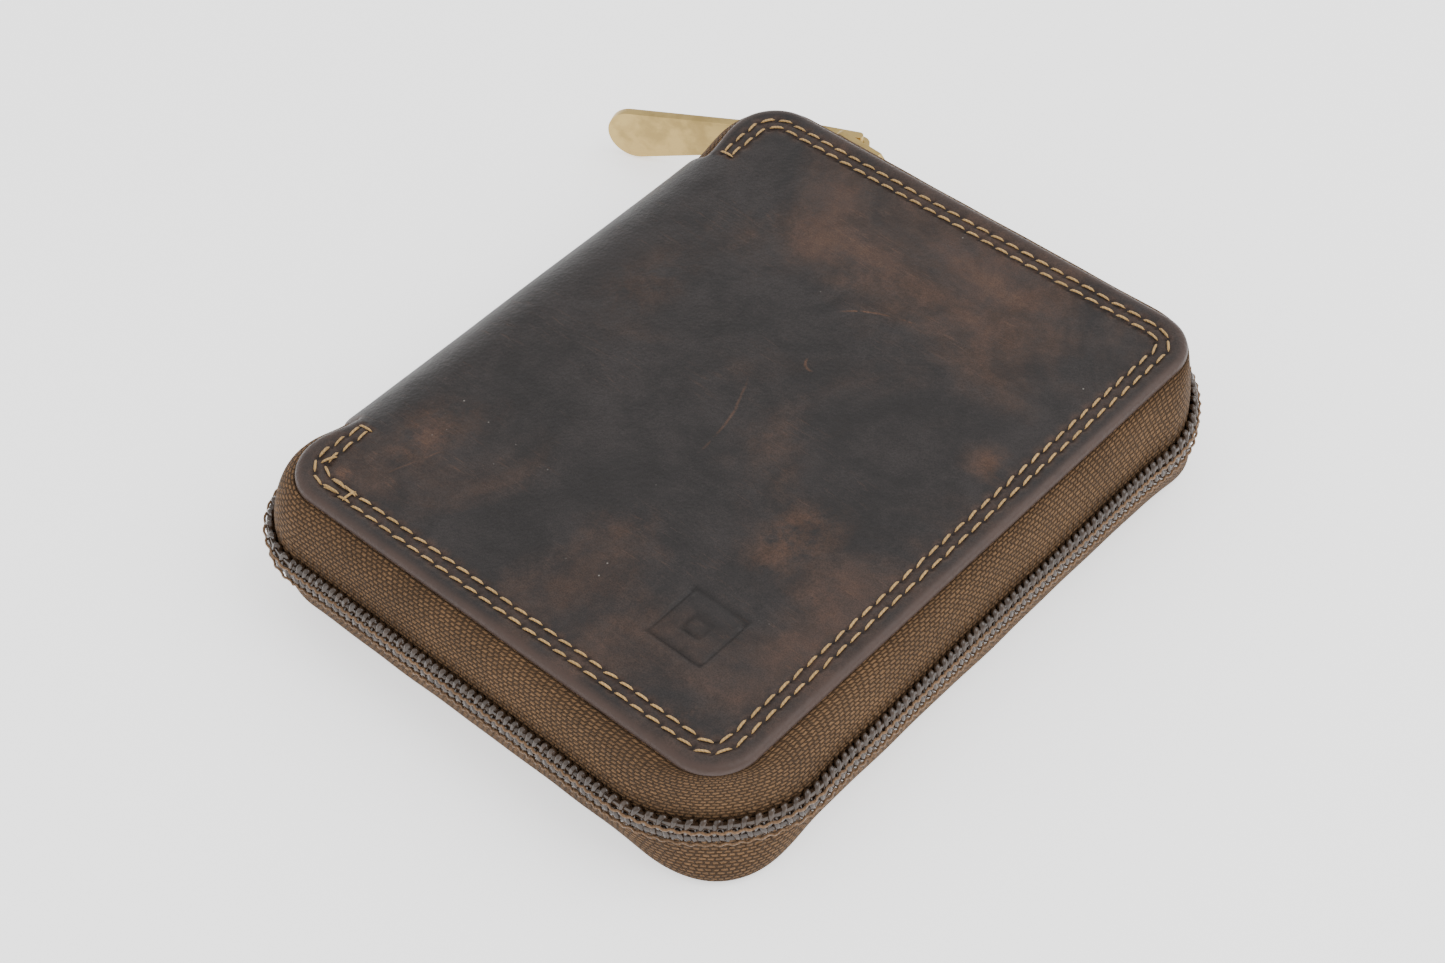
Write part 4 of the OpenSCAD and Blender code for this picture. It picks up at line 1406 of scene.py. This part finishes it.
class WALLET_OT_metal(bpy.types.Operator):
    """Finishes the sliders, pulls and stops"""

    bl_idname = "wallet.metal"
    bl_label = "Finish metal"

    def execute(self, context):
        for name, (node, body, bevel_mm) in METAL.items():
            metal_copy(name, node, body, bevel_mm)
        return {"FINISHED"}


class WALLET_OT_card_side(bpy.types.Operator):
    """Layers the note panel and the card slots in the back half"""

    bl_idname = "wallet.card_side"
    bl_label = "Layer card side"

    def execute(self, context):
        thread_d = context.scene.wallet_stitching.thread_d * 0.8
        panel(context, "note_panel_cloth", "note_panel", "Twill lining", "lining", "root", 4.0)
        for i in range(1, 5):
            node = f"card_panel_{i}"
            low, high = box_mm(node)
            panel(context, f"{node}_leather", node, "Inner hide", "inner_leather", "root", 0.0,
                  lip=(("x", high[0] - 1.6, 0.12),))
            runs = [((high[0] - 10.4 if i < 4 else low[0] + 2, s * (high[1] - 1.6)),
                     (high[0] - 0.8, s * (high[1] - 1.6))) for s in (-1, 1)]
            seam(f"{node}_seam", runs, high[2] - 0.08, 1, 2.6, thread_d, "root", 50 + i)
        return {"FINISHED"}


class WALLET_OT_coin_side(bpy.types.Operator):
    """Makes the coin pocket with its zip, and the window, in the front half"""

    bl_idname = "wallet.coin_side"
    bl_label = "Make coin side"

    def execute(self, context):
        thread_d = context.scene.wallet_stitching.thread_d * 0.8
        body = "front_half"
        panel(context, "coin_back_cloth", "coin_pocket_back", "Twill lining", "lining", body, 4.0,
              facing=-1)
        low, high = box_mm("coin_pocket_rim")
        inner = (low[0] + 1.5, high[0] - 1.5, low[1] + 1.5, high[1] - 1.5)
        panel(context, "coin_rim_cloth", "coin_pocket_rim", "Twill lining", "lining", body, 0.0,
              holes=(inner,), facing=-1)
        zip_low, zip_high = box_mm("coin_zip_coils")
        tapes_low, tapes_high = box_mm("coin_zip_tapes")
        centre = (zip_low[0] + zip_high[0]) / 2
        half = 3.4
        mouth = (centre - half, centre + half, tapes_low[1] + 2, tapes_high[1] - 2)
        front = panel(context, "coin_front_leather", "coin_pocket_front", "Inner hide",
                      "inner_leather", body, 4.0, lip=(("edge", 1.7, 0.12),), holes=(mouth,),
                      facing=-1)
        face = box_mm("coin_pocket_front")[0][2]
        y1 = mouth[3] + 1.4
        beside = [((centre + s * (half + 1.4), -y1), (centre + s * (half + 1.4), y1))
                  for s in (-1, 1)]
        across = [((centre - half - 1.4, s * y1), (centre + half + 1.4, s * y1)) for s in (-1, 1)]
        seam("coin_mouth_seam", beside + across, face + 0.05, -1, 2.6, thread_d, body, 61)
        tape_w = tapes_high[0] - centre
        x, y = np.meshgrid(
            lines(*(graded(centre + a, centre + b, False, False, 0.7)
                    for a, b in ((-tape_w, -0.45), (-0.45, 0.45), (0.45, tape_w)))),
            graded(tapes_low[1], tapes_high[1], False, False, 0.9), indexing="ij",
        )
        top = np.stack([x, y, tapes_low[2] + 0.02 + np.abs(0.05 * np.sin(y / 5.0))], -1)
        bottom = top + np.array([0, 0, tapes_high[2] - tapes_low[2] - 0.12])
        keep = np.abs((x[:-1, :-1] + x[1:, 1:]) / 2 - centre) > 0.45
        tapes = closed_sheet("coin_tapes", top, bottom, keep, np.stack([y, x], -1), flip=True)
        smooth(tapes, 50)
        dress(tapes, "Woven tape", "tape", body, "coin_zip_tapes")
        for side, word in ((-1, "left"), (1, "right")):
            coil = coin_coil(context, f"coin_coil_{word}", side)
            dress(coil, "Nylon coil", "coil", body, *(("coin_zip_coils",) if side < 0 else ()))
        low, high = box_mm("id_window_frame")
        window = (low[0] + 7, high[0] - 7, low[1] + 7, high[1] - 7)
        panel(context, "window_frame_leather", "id_window_frame", "Inner hide", "inner_leather",
              body, 3.0, lip=(("edge", 1.6, 0.1),), holes=(window,), facing=-1)
        panel(context, "window_film", "id_window", "Clear film", "window", body, 2.0, facing=-1)
        x0, x1, y1 = low[0] + 2, high[0] - 2, high[1] - 2.2
        runs = [((x0 + 1, s * y1), (x1 - 1, s * y1)) for s in (-1, 1)]
        runs.append(((x0, -y1 + 1), (x0, y1 - 1)))
        seam("window_frame_seam", runs, low[2] + 0.06, -1, 2.6, thread_d, body, 62)
        return {"FINISHED"}


class WALLET_OT_stage(bpy.types.Operator):
    """Sets the pale floor, the soft studio light and the camera"""

    bl_idname = "wallet.stage"
    bl_label = "Set the stage"

    def execute(self, context):
        stage = context.scene.wallet_stage
        deselect_all()
        bpy.ops.mesh.primitive_plane_add(size=6.0, location=(0, 0, -0.00012))
        floor = context.object
        floor.name = "floor"
        made, tree, shader, where = new_material(
            "Pale floor", **{"Specular_IOR_Level": 0.1, "Roughness": 0.9, "Emission_Strength": 1.0,
                            "Emission_Color": (1, 1, 1, 1)}
        )
        cloudy = noise(tree, where.outputs["Object"], 2.0, 2)
        tree.links.new(blend_colour(tree, cloudy, (0.9, 0.9, 0.9, 1), (0.93, 0.93, 0.93, 1)),
                       shader.inputs["Base Color"])
        floor.data.materials.append(made)

        world = bpy.data.worlds.new("Studio")
        context.scene.world = world
        world.use_nodes = True
        sky = world.node_tree.nodes["Background"]
        sky.inputs["Color"].default_value = (1, 1, 1, 1)
        sky.inputs["Strength"].default_value = stage.sky

        for name, place, size, power in (
            ("Softbox", (0.55, 0.25, 0.75), 0.8, stage.key),
            ("Fill", (-0.3, -0.7, 0.6), 0.9, stage.key * 0.25),
        ):
            light = bpy.data.lights.new(name, "AREA")
            light.size = size
            light.energy = power
            lamp = bpy.data.objects.new(name, light)
            context.scene.collection.objects.link(lamp)
            lamp.location = place
            lamp.rotation_mode = "QUATERNION"
            lamp.rotation_quaternion = (-Vector(place)).to_track_quat("-Z", "Y")

        a, e = stage.azimuth, stage.elevation
        back = Vector((math.sin(a) * math.cos(e), -math.cos(a) * math.cos(e), math.sin(e)))
        right = (-back).cross(Vector((0, 0, 1))).normalized()
        up = right.cross(-back)
        c, s = math.cos(stage.roll), math.sin(stage.roll)
        right, up = right * c + up * s, up * c - right * s
        data = bpy.data.cameras.new("Camera")
        data.sensor_width = 36.0
        data.lens = stage.lens
        data.clip_start = 0.01
        camera = bpy.data.objects.new("Camera", data)
        context.scene.collection.objects.link(camera)
        turn = Matrix((right, up, back)).transposed().to_4x4()
        eye = Vector((0, 0, THICK * MM)) + back * stage.distance
        camera.matrix_world = Matrix.Translation(eye + right * stage.aside + up * stage.lift) @ turn
        context.scene.camera = camera
        return {"FINISHED"}


class WALLET_PT_panel(bpy.types.Panel):
    """Lists the steps that build the wallet"""

    bl_label = "Wallet"
    bl_idname = "WALLET_PT_panel"
    bl_space_type = "VIEW_3D"
    bl_region_type = "UI"
    bl_category = "Wallet"

    def draw(self, context):
        for step in STEPS:
            self.layout.operator(step.bl_idname)


GROUPS = {
    "wallet_leather": WalletLeather,
    "wallet_stitching": WalletStitching,
    "wallet_zip": WalletZip,
    "wallet_inside": WalletInside,
    "wallet_stage": WalletStage,
}

STEPS = (
    WALLET_OT_materials,
    WALLET_OT_covers,
    WALLET_OT_boards,
    WALLET_OT_linings,
    WALLET_OT_stitching,
    WALLET_OT_zip_tapes,
    WALLET_OT_zip_coils,
    WALLET_OT_metal,
    WALLET_OT_card_side,
    WALLET_OT_coin_side,
    WALLET_OT_stage,
)


def register():
    for made in (*GROUPS.values(), *STEPS, WALLET_PT_panel):
        bpy.utils.register_class(made)
    for name, made in GROUPS.items():
        setattr(bpy.types.Scene, name, PointerProperty(type=made))


def unregister():
    for name in GROUPS:
        delattr(bpy.types.Scene, name)
    for made in (WALLET_PT_panel, *reversed(STEPS), *reversed(GROUPS.values())):
        bpy.utils.unregister_class(made)


def main():
    register()
    for step in STEPS:
        area, name = step.bl_idname.split(".")
        getattr(getattr(bpy.ops, area), name)()


if __name__ == "__main__":
    main()
